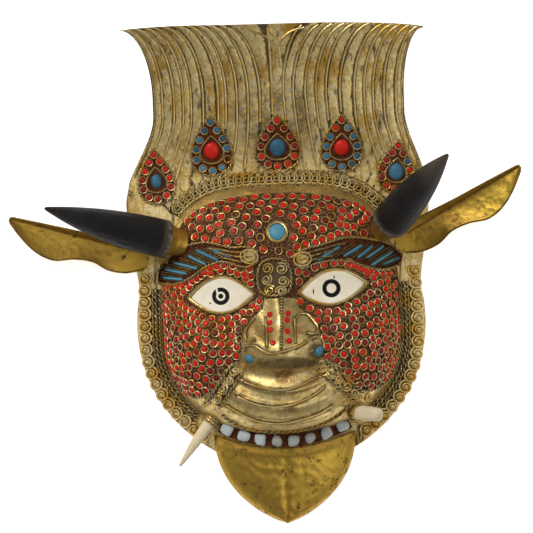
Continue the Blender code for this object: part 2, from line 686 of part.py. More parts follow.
def make_band(name, start, end, count, width, thick, seat, material):
    """A raised band of wire work on the sheet, just outside the face's rim."""
    clear = 2 * GAP
    inner = band_line(start, end, count, clear)
    outer = band_line(start, end, count, clear + width)
    shares = np.array(BAND_PROFILE)
    flat = inner[:, None, :] + shares[None, :, None] * (outer - inner)[:, None, :]
    flat = flat.reshape(-1, 2)
    foot = seat.heights(flat)
    top = foot + np.tile(thick * np.array(BAND_RISE), count)
    faces = grid_faces(count, len(shares))
    points, solid = close_between(np.column_stack([flat, top]), np.column_stack([flat, foot]), faces)
    return seat.add(make_object(name, points, solid, material))


def make_mouth(seat, cutter, materials):
    """The bed of lac under the lip, trimmed to the face, and the row of teeth that stands on it."""
    x = np.linspace(-TEETH_HALF_SPAN - TOOTH_WIDTH / 2, TEETH_HALF_SPAN + TOOTH_WIDTH / 2, 15)
    share = (x / TEETH_HALF_SPAN) ** 2
    middle = TEETH_ARC_Y + TEETH_ARC_RISE * share
    height = GUM_HEIGHT - GUM_FALL * share
    front = np.array([[[px, py + GUM_ABOVE, pz], [px, py - GUM_BELOW, pz]]
                      for px, py, pz in zip(x, middle, height)])
    back = front - np.array([0, 0, GUM_THICK])
    faces = grid_faces(len(x), 2)
    points, solid = close_between(front.reshape(-1, 3), back.reshape(-1, 3), faces)
    bed = make_object("tooth_bed", points, solid, materials["lac"])
    seat.add(bed)
    for number in range(TEETH):
        spread = 2 * number / (TEETH - 1) - 1
        px = spread * TEETH_HALF_SPAN
        py = TEETH_ARC_Y + TEETH_ARC_RISE * spread ** 2
        slope = math.degrees(math.atan2(2 * TEETH_ARC_RISE * spread, TEETH_HALF_SPAN))
        outline = oval(px, py, TOOTH_WIDTH / 2, TOOTH_HEIGHT / 2, slope, 8, TOOTH_SQUARENESS)
        make_plate(f"tooth_{number + 1}", outline, (px, py), seat,
                   lambda edge: TOOTH_THICK * (1 - TOOTH_ROUNDING * edge ** 3), materials["shell"])
    trim(bed, cutter)


def make_jewels(seat, materials):
    """Five drop-shaped trays on the crown, each with a cabochon in its lower half."""
    for number, jewel in enumerate(JEWELS, 1):
        turn = math.radians(jewel["turn"])
        drop = STONE_DROP
        centre = (jewel["x"] + drop * math.sin(turn), jewel["y"] - drop * math.cos(turn))
        make_plate(f"jewel_tray_{number}", teardrop(jewel), centre, seat,
                   lambda edge: TRAY_THICK * (1 - TRAY_DISH * (1 - edge)), materials["lac"], (1.0,))
        stone = "coral" if number in (2, 4) else "turquoise"
        outline = oval(*centre, jewel["stone_x"], jewel["stone_y"], jewel["turn"], 10)
        make_plate(f"jewel_stone_{number}", outline, centre, seat,
                   lambda edge: STONE_SWELL * math.sqrt(STONE_EDGE - edge ** 2), materials[stone], (0.7, 1.0))


def make_face_trim(seat, materials):
    """Eyes, brows, lip strips, plaque and stones, which lie on the face."""
    for side, eye in (("left", EYE_LEFT), ("right", EYE_RIGHT)):
        centre = (np.array(eye["inner"]) + eye["outer"]) / 2
        make_plate(f"eye_{side}", almond(eye), centre, seat,
                   lambda edge: EYE_THICK + EYE_SWELL * (1 - edge ** 2), materials["bone"])
    for side, brow in (("left", BROW_LEFT), ("right", BROW_RIGHT)):
        share = np.linspace(0, 1, 11)
        widths = brow["width"] * (0.62 + 0.55 * np.sin(np.pi * share ** 1.3)) * (1 - 0.35 * share ** 8)
        make_strip(f"brow_{side}", bezier(brow["line"], 11), widths, seat,
                   lambda edge: BROW_THICK, materials["lac"])
    for side, strip in (("left", LIP_STRIP_LEFT), ("right", LIP_STRIP_RIGHT)):
        make_strip(f"lip_strip_{side}", bezier(strip["line"], 7), np.full(7, strip["width"]), seat,
                   lambda edge: LIP_STRIP_THICK * (1 - 0.3 * abs(edge)), materials["gilt"])
    outline = oval(PLAQUE["x"], PLAQUE["y"], PLAQUE["width"] / 2, PLAQUE["height"] / 2, 0, 14, 2.6)
    make_plate("nose_root_plaque", outline, (PLAQUE["x"], PLAQUE["y"]), seat,
               lambda edge: PLAQUE_THICK, materials["gilt"])
    stone = FOREHEAD_STONE
    outline = oval(stone["x"], stone["y"], stone["radius"], stone["radius"], 0, 12)
    make_plate("forehead_stone", outline, (stone["x"], stone["y"]), seat,
               lambda edge: STONE_SWELL * math.sqrt(STONE_EDGE - edge ** 2), materials["turquoise"], (0.7, 1.0))
    for side, turn in (("left", 20), ("right", -20)):
        x, y = NOSTRIL_STONES[side]
        outline = oval(x, y, NOSTRIL_STONES["half_length"], NOSTRIL_STONES["half_width"], turn, 8)
        make_plate(f"nostril_stone_{side}", outline, (x, y), seat,
                   lambda edge: STONE_SWELL / 2 * math.sqrt(1.2 - edge ** 2), materials["turquoise"])


def centre_footprint():
    """Moves the whole mask so that the middle of its footprint is the origin."""
    pieces = [piece for piece in bpy.context.scene.objects if piece.type == "MESH"]
    corners = np.array([vertex.co for piece in pieces if not piece.hide_render for vertex in piece.data.vertices])
    middle = (corners.min(axis=0) + corners.max(axis=0)) / 2
    for piece in pieces:
        piece.data.transform(Matrix.Translation((-middle[0], -middle[1], 0)))


def main():
    clear_scene()
    materials = {
        "gilt": make_material("gilt_copper", (0.62, 0.47, 0.22), 0.42, 1.0),
        "old_gilt": make_material("old_gilt", (0.46, 0.34, 0.16), 0.5, 1.0),
        "lac": make_material("lac", (0.16, 0.05, 0.035), 0.6, 0.0),
        "coral": make_material("coral", (0.62, 0.06, 0.035), 0.3, 0.0),
        "turquoise": make_material("turquoise", (0.07, 0.30, 0.38), 0.3, 0.0),
        "bone": make_material("bone", (0.80, 0.76, 0.66), 0.5, 0.0),
        "shell": make_material("shell", (0.62, 0.66, 0.70), 0.35, 0.0),
        "horn": make_material("black_horn", (0.025, 0.022, 0.022), 0.4, 0.0),
    }
    seat = Seat()
    seat.add(make_crown(materials["gilt"]))
    seat.add(make_face(materials["gilt"]))
    cutter = make_face_cutter(materials["gilt"])
    make_band("forehead_band", 180 - BAND_FROM, BAND_FROM, 21, BAND_WIDTH, BAND_THICK, seat, materials["old_gilt"])
    make_band("border_left", 180 - BORDER_FROM, 180 - BORDER_TO, 15, BORDER_WIDTH, BORDER_THICK, seat,
              materials["old_gilt"])
    make_band("border_right", BORDER_FROM, BORDER_TO, 15, BORDER_WIDTH, BORDER_THICK, seat, materials["old_gilt"])
    make_chin(materials["gilt"])
    make_face_trim(seat, materials)
    make_jewels(seat, materials)
    make_mouth(seat, cutter, materials)
    for side, horn in (("left", HORN_LEFT), ("right", HORN_RIGHT)):
        make_horn(f"horn_{side}", horn, materials["horn"])
        trim(make_collar(f"horn_collar_{side}", horn, materials["gilt"]), cutter)
    for side, tusk, length, radius, tip in (("left", TUSK_LEFT, TUSK_LENGTH, TUSK_RADIUS, TUSK_TIP),
                                            ("right", TUSK_RIGHT, BLUNT_LENGTH, BLUNT_RADIUS, BLUNT_TIP)):
        make_tusk(f"tusk_{side}", tusk, length, radius, tip, materials["bone"])
        trim(make_socket(f"tusk_socket_{side}", tusk, radius, materials["old_gilt"]), cutter)
    make_ear("ear_left", EAR_LEFT, -1.0, materials["gilt"])
    make_ear("ear_right", EAR_RIGHT, 1.0, materials["gilt"])
    centre_footprint()


if __name__ == "__main__":
    main()
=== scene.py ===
"""Dresses the horned demon mask: beaten gilt sheet, wire work, beads, stones, bone, horn and lac.

Lengths are metres. The shapes are drawn about the middle of the face, as the mask's maker would:
X runs across the face, Y from the chin up to the crown and Z out of it. SHIFT carries them to the
frame's origin. Every shape is a surface worked out over a grid, or a section carried along a path.
"""
import math

import bpy
import numpy as np
from mathutils import Matrix, Vector


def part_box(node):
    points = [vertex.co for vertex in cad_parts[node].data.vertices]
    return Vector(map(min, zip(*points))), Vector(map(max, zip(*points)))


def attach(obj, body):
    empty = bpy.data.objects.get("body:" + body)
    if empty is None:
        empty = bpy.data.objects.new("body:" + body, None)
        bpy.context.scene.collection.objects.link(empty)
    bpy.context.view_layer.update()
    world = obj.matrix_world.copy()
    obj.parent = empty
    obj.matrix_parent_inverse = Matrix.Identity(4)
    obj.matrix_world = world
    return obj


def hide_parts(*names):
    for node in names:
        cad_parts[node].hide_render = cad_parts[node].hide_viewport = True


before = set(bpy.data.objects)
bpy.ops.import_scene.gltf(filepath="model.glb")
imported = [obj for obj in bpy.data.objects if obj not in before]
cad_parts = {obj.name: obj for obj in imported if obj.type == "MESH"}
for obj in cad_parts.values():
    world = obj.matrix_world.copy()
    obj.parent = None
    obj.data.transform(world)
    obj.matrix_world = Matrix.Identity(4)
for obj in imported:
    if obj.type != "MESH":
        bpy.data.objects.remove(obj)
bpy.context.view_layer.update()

bl_info = {
    "name": "Ritual Mask Dressing",
    "version": (1, 0, 0),
    "blender": (4, 5, 0),
    "location": "View3D > Sidebar > Mask",
    "description": "Builds the gilt sheet, wire work, beads, stones and horns of a demon mask",
    "category": "Add Mesh",
}

# Sheet and face, as the frame has them
SHEET = 0.0012
SHELL_WALL = 0.0014
GAP = 0.0003
FACE_HALF_WIDTH = 0.084
FACE_TOP = 0.066
FACE_MIDDLE = -0.040
FACE_BOTTOM = -0.112
TOP_SQUARENESS = 3.4
FACE_DEPTH = 0.034
NOSE_FOOT = -0.044
FOREHEAD = dict(x=0.0, y=0.036, reach_x=0.056, reach_y=0.030, height=0.009)
CHEEK = dict(x=0.056, y=-0.047, reach_x=0.028, reach_y=0.030, height=0.013)
SOCKET = dict(x=0.039, y=-0.009, reach_x=0.027, reach_y=0.014, height=-0.004)
MUZZLE = dict(x=0.0, y=-0.086, reach_x=0.046, reach_y=0.024, height=0.014)
NOSE_ROOT_Y = 0.016
NOSE_BRIDGE_HEIGHT = 0.017
NOSE_BRIDGE_WIDTH = 0.0105
NOSE_BLEND = 4.0
BULB = dict(x=0.0005, y=-0.0485, reach_x=0.0265, reach_y=0.0140, height=0.022)
WING = dict(x=0.019, y=-0.035, reach_x=0.0090, reach_y=0.0095, height=0.009)
FOLD_HEIGHT = 0.0022
FOLD_SHARES = (0.49, 0.63, 0.81)
FOLD_WIDTH = 0.024
FOLD_REACH = 0.034

# Crown and frame, as the frame has them
RIM_RADIUS = 0.1015
RIM_MIDDLE = -0.030
HOLE_MARGIN = 0.007
CROWN_WAIST = 0.130
CROWN_TOP = 0.1786
CROWN_TILT = 0.002
CROWN_DROOP = 0.0032
WAIST = {-1: 0.0852, 1: 0.0910}
EDGE_FLARE = {-1: 0.0215, 1: 0.0150}
SHOULDER = 0.1065
SHOULDER_Y = 0.058
FLARE = 0.0250
FLARE_POWER = 6.0
CROWN_LEAN = 0.026
LEAN_FROM = 0.070
CROWN_CROWNING = 0.005
STRAND_HEIGHT = 0.0014
STRANDS_END = 0.118
MIDDLE_STRAND = 0.10
FRAME_START = 39.6
FRAME_SPREAD_FROM = 0.21

# Hair: where the wires stand between the middle and the edge of each half, and how they fan out
WIRE_SHARES = {-1: (0.02, 0.118, 0.216, 0.307, 0.398, 0.462, 0.585, 0.684, 0.750, 0.826, 0.920),
               1: (0.069, 0.145, 0.238, 0.320, 0.398, 0.505, 0.614, 0.690, 0.760, 0.844, 0.936)}
WIRE_SLANT = {-1: 0.02, 1: 0.10}
WIRE_ENDS = {-1: (0.116, 0.111, 0.078, 0.076, 0.107, 0.0, 0.0, 0.0, 0.0, 0.0, 0.0),
             1: (0.110, 0.079, 0.079, 0.1045, 0.110, 0.0, 0.1045, 0.072, 0.084, 0.0, 0.0)}

# The mask is drawn about the middle of the face, and the frame tells where that lies
FACE_LOW, FACE_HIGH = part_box("face_shell")
SHIFT = np.array([(FACE_LOW.x + FACE_HIGH.x) / 2, FACE_HIGH.y - FACE_TOP, 0.0])


# Arithmetic

def smoothstep(value):
    """0 below 0, 1 above 1 and 3v^2 - 2v^3 between."""
    value = np.clip(value, 0.0, 1.0)
    return value * value * (3 - 2 * value)


def hill(x, y, shape, side=1.0, power=1.0):
    """A smooth hill: height times exp(-q^power), q the squared distance in units of its reaches."""
    q = ((x - side * shape["x"]) / shape["reach_x"]) ** 2 + ((y - shape["y"]) / shape["reach_y"]) ** 2
    return shape["height"] * np.exp(-q ** power)


def unit(vectors):
    """The same directions with length 1."""
    return vectors / np.maximum(np.linalg.norm(vectors, axis=-1, keepdims=True), 1e-12)


def full_turn(count):
    """Angles at even steps right round, without the last, which is the first again."""
    return np.arange(count) / count * 2 * np.pi


def face_outline(angle, margin=0.0):
    """The face's rim: a superellipse above the eyes and an ellipse below, moved outwards by margin."""
    cosine = np.cos(angle)
    sine = np.sin(angle)
    power = np.where(sine > 0, TOP_SQUARENESS, 2.0)
    reach_y = np.where(sine > 0, FACE_TOP - FACE_MIDDLE, FACE_MIDDLE - FACE_BOTTOM)
    x = np.sign(cosine) * FACE_HALF_WIDTH * np.abs(cosine) ** (2 / power)
    y = np.sign(sine) * reach_y * np.abs(sine) ** (2 / power)
    out_x = np.sign(x) * np.abs(x / FACE_HALF_WIDTH) ** (power - 1) / FACE_HALF_WIDTH
    out_y = np.sign(y) * np.abs(y / reach_y) ** (power - 1) / reach_y
    length = np.hypot(out_x, out_y)
    return np.stack([x + margin * out_x / length, FACE_MIDDLE + y + margin * out_y / length], axis=-1)


def face_radius(x, y):
    """0 at the face's middle and 1 on its rim."""
    above = y > FACE_MIDDLE
    power = np.where(above, TOP_SQUARENESS, 2.0)
    reach_y = np.where(above, FACE_TOP - FACE_MIDDLE, FACE_MIDDLE - FACE_BOTTOM)
    total = np.abs(x / FACE_HALF_WIDTH) ** power + np.abs((y - FACE_MIDDLE) / reach_y) ** power
    return total ** (1 / power)


def lip_share(x, y):
    """How far a point lies from the nose's foot to the lower rim, along curves like the rim's."""
    drop = NOSE_FOOT - FACE_BOTTOM
    bend = (FACE_MIDDLE - FACE_BOTTOM) / (2 * FACE_HALF_WIDTH ** 2)
    below = y - NOSE_FOOT
    return (-below + np.sqrt(below ** 2 + 4 * drop * bend * x ** 2)) / (2 * drop)


def face_height(x, y):
    """Height of the face above its rim: a dome, with the swellings and hollows of the features."""
    radius = np.clip(face_radius(x, y), 0.0, 1.0)
    lower = smoothstep((FACE_MIDDLE - y) / 0.05)
    dome = (1 - radius ** (3.2 + 2.0 * lower)) ** 0.55
    height = FACE_DEPTH * dome + dome * hill(x, y, FOREHEAD)
    for side in (-1.0, 1.0):
        height = height + dome * (hill(x, y, CHEEK, side) + hill(x, y, SOCKET, side))
        height = height + hill(x, y, WING, side)
    height = height + dome * hill(x, y, MUZZLE, power=1.5)
    run = smoothstep((NOSE_ROOT_Y - y) / (NOSE_ROOT_Y - NOSE_FOOT)) * smoothstep((y - NOSE_FOOT) / 0.02
                                                                                 + 1.3)
    bridge = NOSE_BRIDGE_HEIGHT * run * np.exp(-(x / NOSE_BRIDGE_WIDTH) ** 2)
    bulb = hill(x, y, BULB, power=1.5)
    height = height + (bridge ** NOSE_BLEND + bulb ** NOSE_BLEND) ** (1 / NOSE_BLEND)
    fade = smoothstep(1.6 - np.abs(x) / FOLD_REACH) * (y < NOSE_FOOT)
    share = lip_share(x, y)
    for fold in FOLD_SHARES:
        height = height + FOLD_HEIGHT * fade * np.exp(-((share - fold) / FOLD_WIDTH) ** 2)
    return height


def crown_height(x, y):
    """The sheet lies flat behind the face and leans forward towards the crown's top."""
    share = np.clip((y - LEAN_FROM) / (CROWN_TOP - LEAN_FROM), 0, 1.2)
    crowning = CROWN_CROWNING * smoothstep(share * 2.2) * (1 - (x / SHOULDER) ** 2)
    return CROWN_LEAN * share ** 1.8 + crowning


def skin(x, y):
    """The surface that everything lies on: the face inside its rim, and the sheet around it."""
    inside = face_radius(x, y) < 1
    return np.where(inside, SHEET + GAP + face_height(x, y), SHEET + crown_height(x, y))


def skin_normal(x, y, step=0.0003):
    """Unit normals of the skin, from its slopes over a small step."""
    slope_x = (skin(x + step, y) - skin(x - step, y)) / (2 * step)
    slope_y = (skin(x, y + step) - skin(x, y - step)) / (2 * step)
    steepest = 4.0
    slope_x = np.clip(slope_x, -steepest, steepest)
    slope_y = np.clip(slope_y, -steepest, steepest)
    return unit(np.stack([-slope_x, -slope_y, np.ones_like(slope_x)], axis=-1))


def on_skin(flat, lift=0.0):
    """Points of the drawing laid on the skin and lifted along its normal."""
    x, y = flat[..., 0], flat[..., 1]
    return np.stack([x, y, skin(x, y)], axis=-1) + lift * skin_normal(x, y)


def strand_line(side, share, low):
    """Places along strands of hair, as (x, y): rows from the foot at the heights in low up to the top.

    Below the waist a strand stands at its share of the sheet's half width, which widens to the
    shoulder. Above it a strand is a quarter of an ellipse that ends lying nearly flat.
    """
    waist = WAIST[side]
    widening = smoothstep((low - SHOULDER_Y) / (STRANDS_END - SHOULDER_Y))
    reach = SHOULDER + (waist - SHOULDER) * widening
    slant = WIRE_SLANT[side] * smoothstep(share / MIDDLE_STRAND) * (1 - share)
    low_x = share * reach + slant * (CROWN_WAIST - low)
    turn = np.linspace(0, math.pi / 2, 30)[:, None]
    flare = FLARE + (EDGE_FLARE[side] - FLARE) * share ** FLARE_POWER
    flare = flare * smoothstep(share / MIDDLE_STRAND)
    high_x = share * waist + flare * (1 - np.cos(turn))
    rise = CROWN_TOP - CROWN_WAIST - side * CROWN_TILT * share - CROWN_DROOP * share ** 3
    x = side * np.vstack([low_x, high_x])
    y = np.vstack([low + 0 * share, CROWN_WAIST + rise * np.sin(turn)])
    return x, y


def frame_edge(angle):
    """The sheet's outer edge: a circle about the lower face that spreads towards the shoulders."""
    spread = np.clip((angle - FRAME_SPREAD_FROM) / (math.radians(FRAME_START) - FRAME_SPREAD_FROM), 0,
                     1)
    shoulder = math.hypot(SHOULDER, SHOULDER_Y - RIM_MIDDLE)
    radius = RIM_RADIUS + (shoulder - RIM_RADIUS) * spread ** 1.6
    return np.stack([radius * np.cos(angle), RIM_MIDDLE + radius * np.sin(angle)], axis=-1)


# Faces and pieces

def grid_faces(rows, columns, wrap_rows=False, wrap_columns=False):
    """Quads over points stored row by row; wrap joins the last row or column to the first."""
    row = np.arange(rows if wrap_rows else rows - 1)[:, None]
    column = np.arange(columns if wrap_columns else columns - 1)[None, :]
    beyond = (row + 1) % rows
    beside = (column + 1) % columns
    corners = (row * columns + column, row * columns + beside,
               beyond * columns + beside, beyond * columns + column)
    return np.stack(np.broadcast_arrays(*corners), axis=-1).reshape(-1, 4)


def body_faces(rows, sides):
    """Faces of a body of equal rings stored in turn: its sides, its first end and its last."""
    cap = np.arange(1, sides - 1)
    first = np.column_stack([0 * cap, cap + 1, cap])
    last = (rows - 1) * sides + np.column_stack([0 * cap, cap, cap + 1])
    return grid_faces(rows, sides, wrap_columns=True), first, last


def fan_faces(first, ring):
    """Triangles from one point to each pair of neighbours on a ring."""
    return np.column_stack([np.full(len(ring), first), ring, np.roll(ring, -1)])


def close_between(front, back, *faces):
    """A closed body: the front skin, the matching back skin and a wall along every free edge."""
    count = len(front)
    edges = np.vstack([np.column_stack([block[:, side], np.roll(block, -1, axis=1)[:, side]])
                       for block in faces for side in range(block.shape[1])])
    _, first, uses = np.unique(np.sort(edges, axis=1), axis=0, return_index=True, return_counts=True)
    free = edges[first[uses == 1]]
    wall = np.column_stack([free[:, 1], free[:, 0], free[:, 0] + count, free[:, 1] + count])
    backs = [block[:, ::-1] + count for block in faces]
    return np.vstack([front, back]), (*faces, *backs, wall)


class Shape:
    """Closed bodies gathered for one mesh, with a tone from 0 to 1 at every point for the finish."""

    def __init__(self):
        self.points = []
        self.faces = []
        self.tones = []
        self.count = 0

    def add(self, points, faces, tone=0.0):
        """Adds closed bodies, turned so that their faces point out: the sum of a.(b x c) is above 0."""
        points = np.asarray(points, float).reshape(-1, 3)
        centred = points - points.mean(axis=0)
        volume = 0.0
        for block in faces:
            for corner in range(1, block.shape[1] - 1):
                a, b, c = (centred[block[:, index]] for index in (0, corner, corner + 1))
                volume += np.einsum("ij,ij->", a, np.cross(b, c))
        for block in faces:
            self.faces.append((block if volume > 0 else block[:, ::-1]) + self.count)
        self.points.append(points)
        self.tones.append(np.broadcast_to(np.asarray(tone, float).ravel(), len(points)))
        self.count += len(points)
        return self


def make_piece(name, shape, material, nodes=(), crease=40):
    """Turns a shape into one mesh object that rides on the mask and stands for the frame's nodes."""
    mesh = bpy.data.meshes.new(name)
    points = np.vstack(shape.points) + SHIFT
    mesh.vertices.add(len(points))
    mesh.vertices.foreach_set("co", points.astype(np.float32).ravel())
    totals = np.concatenate([np.full(len(block), block.shape[1]) for block in shape.faces])
    corners = np.concatenate([block.ravel() for block in shape.faces])
    mesh.loops.add(len(corners))
    mesh.loops.foreach_set("vertex_index", corners.astype(np.int32))
    mesh.polygons.add(len(totals))
    mesh.polygons.foreach_set("loop_start",
                              np.concatenate([[0], np.cumsum(totals)[:-1]]).astype(np.int32))
    mesh.polygons.foreach_set("loop_total", totals.astype(np.int32))
    mesh.update(calc_edges=True)
    tones = mesh.attributes.new("tone", "FLOAT", "POINT")
    tones.data.foreach_set("value", np.concatenate(shape.tones).astype(np.float32))
    mesh.shade_smooth()
    mesh.set_sharp_from_angle(angle=math.radians(crease))
    mesh.materials.append(material)
    piece = bpy.data.objects.new(name, mesh)
    bpy.context.scene.collection.objects.link(piece)
    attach(piece, "root")
    if nodes:
        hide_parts(*nodes)
    return piece


# Paths and what is carried along them

WIRE_SIDES = 6
ROPE_SIDES = 8
STEPS_IN_PITCH = 4


def smooth_path(points, step=0.0008):
    """Even steps along a smooth curve: cubic pieces whose slopes come from the neighbouring points."""
    points = np.asarray(points, float)
    knots = np.concatenate([[0.0], np.cumsum(np.linalg.norm(np.diff(points, axis=0), axis=1))])
    slopes = np.gradient(points, knots, axis=0)
    at = np.linspace(0, knots[-1], max(int(knots[-1] / step) + 1, 4))
    piece = np.clip(np.searchsorted(knots, at, side="right") - 1, 0, len(knots) - 2)
    width = (knots[piece + 1] - knots[piece])[:, None]
    t = (at - knots[piece])[:, None] / width
    ends = (1 + 2 * t) * (1 - t) ** 2 * points[piece] + t ** 2 * (3 - 2 * t) * points[piece + 1]
    return ends + width * t * (1 - t) * ((1 - t) * slopes[piece] - t * slopes[piece + 1])


def even_steps(path, step):
    """The same path with points at even steps."""
    run = np.concatenate([[0.0], np.cumsum(np.linalg.norm(np.diff(path, axis=0), axis=1))])
    at = np.linspace(0, run[-1], max(int(run[-1] / step) + 1, 3))
    return np.column_stack([np.interp(at, run, path[:, axis]) for axis in range(path.shape[1])])


def tube(path, radius, sides=WIRE_SIDES):
    """A wire: a regular polygon carried along the path. Its radius may vary along and around it."""
    path = np.asarray(path, float)
    run = unit(np.gradient(path, axis=0))
    across = np.cross(run, (0.0, 0.0, 1.0))
    across[np.linalg.norm(across, axis=1) < 1e-6] = (1.0, 0.0, 0.0)
    across = unit(across)
    upward = np.cross(across, run)
    angle = full_turn(sides)
    ring = (np.cos(angle)[None, :, None] * across[:, None, :]
            + np.sin(angle)[None, :, None] * upward[:, None, :])
    radius = np.asarray(radius, float)
    radius = np.broadcast_to(radius if radius.ndim == 2 else radius.reshape(-1, 1), (len(path), sides))
    points = path[:, None, :] + radius[:, :, None] * ring
    return points.reshape(-1, 3), body_faces(len(path), sides)


def rope(path, radius, pitch):
    """Two wires twisted together: two lobes that turn half round in each pitch, with a tone for painted
    shade in the groove between them.
    """
    path = even_steps(path, pitch / STEPS_IN_PITCH)
    turn = np.arange(len(path)) / STEPS_IN_PITCH * np.pi
    lobes = np.abs(np.cos(full_turn(ROPE_SIDES)[None, :] - turn[:, None]))
    # tone: painted shade in the groove between the lobes
    return *tube(path, radius * (0.45 + 0.55 * lobes), ROPE_SIDES), 0.7 * (1 - lobes).ravel()


def beaded(path, radius, pitch):
    """A wire rolled into a row of grains: its radius swells as a sine does, with a tone for painted
    shade where thin, between the grains.
    """
    path = even_steps(path, pitch / STEPS_IN_PITCH)
    swell = np.abs(np.sin(np.arange(len(path)) / STEPS_IN_PITCH * np.pi + 0.35))
    # tone: painted shade between the grains
    return *tube(path, radius * (0.6 + 0.4 * swell)), np.repeat(1 - swell, WIRE_SIDES)


def circle(x, y, radius, start=0.0, sweep=360.0, count=20):
    """Points around a centre, by cosine and sine, between two angles in degrees."""
    angle = np.radians(start + sweep * np.linspace(0, 1, count))
    return np.column_stack([x + radius * np.cos(angle), y + radius * np.sin(angle)])


def scroll(x, y, radius, start, sweep, shrink, count=26):
    """A curl: a circle whose radius shrinks to a share of itself as it turns."""
    share = np.linspace(0, 1, count)
    angle = np.radians(start + sweep * share)
    size = radius * (1 - shrink * share)
    return np.column_stack([x + size * np.cos(angle), y + size * np.sin(angle)])


def closed_line(outline):
    """The outline with its first point again at its end."""
    return np.vstack([outline, outline[:1]])


def sideways_of(path):
    """Unit vectors square to a flat path, to its left."""
    run = unit(np.gradient(path, axis=0))
    return np.column_stack([-run[:, 1], run[:, 0]])


# Repeated small shapes

def frames_about(normals):
    """For each normal, two unit vectors square to it and to each other."""
    first = unit(np.cross(normals, (0.0, 1.0, 0.001)))
    return first, np.cross(normals, first)


def domes(centres, normals, radii, heights, sides=10, turns=0.0, profile=None):
    """Rounded stones: a low profile of (radius, height) turned about each normal and closed below."""
    profile = np.array(profile or ((1.0, -0.5), (1.0, 0.50), (0.88, 0.86), (0.62, 0.97)))
    count = len(centres)
    radii = np.broadcast_to(radii, count)
    heights = np.broadcast_to(heights, count)
    across, along = frames_about(normals)
    turns = np.broadcast_to(turns, count)[:, None]
    angle = full_turn(sides)[None, :]
    turned_x = np.cos(angle) * np.cos(turns) - np.sin(angle) * np.sin(turns)
    turned_y = np.cos(angle) * np.sin(turns) + np.sin(angle) * np.cos(turns)
    ring = turned_x[:, :, None] * across[:, None, :] + turned_y[:, :, None] * along[:, None, :]
    reach = profile[:, 0][None, :, None] * radii[:, None, None]
    rise = profile[:, 1][None, :] * heights[:, None]
    rings = (centres[:, None, None, :] + reach[..., None] * ring[:, None, :, :]
             + rise[:, :, None, None] * normals[:, None, None, :])
    each = len(profile) * sides
    tops = centres + heights[:, None] * normals
    points = np.concatenate([rings.reshape(count, each, 3), tops[:, None, :]], axis=1)
    start = (np.arange(count) * (each + 1))[:, None, None]
    side, base, _ = body_faces(len(profile), sides)
    top = fan_faces(each, np.arange(each - sides, each))
    faces = tuple((start + block[None]).reshape(-1, block.shape[1]) for block in (side, top, base))
    return points.reshape(-1, 3), faces


def rings_at(centres, normals, radii, wire, sides=14, section=5):
    """Rings of wire, each a small circle carried round a larger one that is square to its normal."""
    count = len(centres)
    radii = np.broadcast_to(radii, count)
    across, along = frames_about(normals)
    turn = full_turn(sides)
    around = full_turn(section)
    out = np.cos(turn)[None, :, None] * across[:, None, :] + np.sin(turn)[None, :,
                                                                          None] * along[:, None, :]
    reach = radii[:, None, None] + wire * np.cos(around)[None, None, :] + 0 * turn[None, :, None]
    points = (centres[:, None, None, :] + reach[..., None] * out[:, :, None, :]
              + (wire * np.sin(around))[None, None, :, None] * normals[:, None, None, :])
    start = (np.arange(count) * sides * section)[:, None, None]
    faces = (start + grid_faces(sides, section, wrap_rows=True, wrap_columns=True)[None]).reshape(-1, 4)
    return points.reshape(-1, 3), (faces,)


def plate(outline, centre, thickness, sink=0.0006, rings=8, level=None):
    """A plate that follows what it lies on: rings from its centre out, thickness(share) above it."""
    outline = np.asarray(outline, float)
    centre = np.asarray(centre, float)
    share = (np.arange(1, rings + 1) / rings) ** 0.8
    flat = np.vstack([centre[None],
                      (centre + share[:, None, None] * (outline - centre)).reshape(-1, 2)])
    shares = np.concatenate([[0.0], np.repeat(share, len(outline))])
    ground = skin(flat[:, 0], flat[:, 1]) if level is None else level(flat[:, 0], flat[:, 1])
    top = np.column_stack([flat, ground + thickness(shares)])
    low = np.column_stack([flat, ground - sink])
    around = np.arange(1, len(outline) + 1)
    quads = grid_faces(rings, len(outline), wrap_columns=True)[:, ::-1] + 1
    return close_between(top, low, fan_faces(0, around), quads)


def even(height):
    """The same height right across."""
    return lambda share: height + 0 * share


def rounded(foot, rise):
    """The height of a polished stone: a foot, and a dome that falls as the root of 1.02 - share^2."""
    return lambda share: foot + rise * np.sqrt(1.02 - share ** 2)


def strip(middle, half_width, height, sink=0.0004, across=None, level=skin):
    """A strip laid along a path: height(share) above its ground, with share -1 and 1 at its edges."""
    across = np.linspace(-1, 1, 7) if across is None else across
    flat = middle[:, None, :] + sideways_of(middle)[:, None,
                                                    :] * (across[None, :]
                                                          * half_width[:, None])[..., None]
    ground = level(flat[..., 0], flat[..., 1])
    top = np.concatenate([flat, (ground + height(across)[None, :])[..., None]], axis=-1).reshape(-1, 3)
    low = np.concatenate([flat, (ground - sink)[..., None]], axis=-1).reshape(-1, 3)
    return close_between(top, low, grid_faces(len(middle), len(across)))


# Shader maths

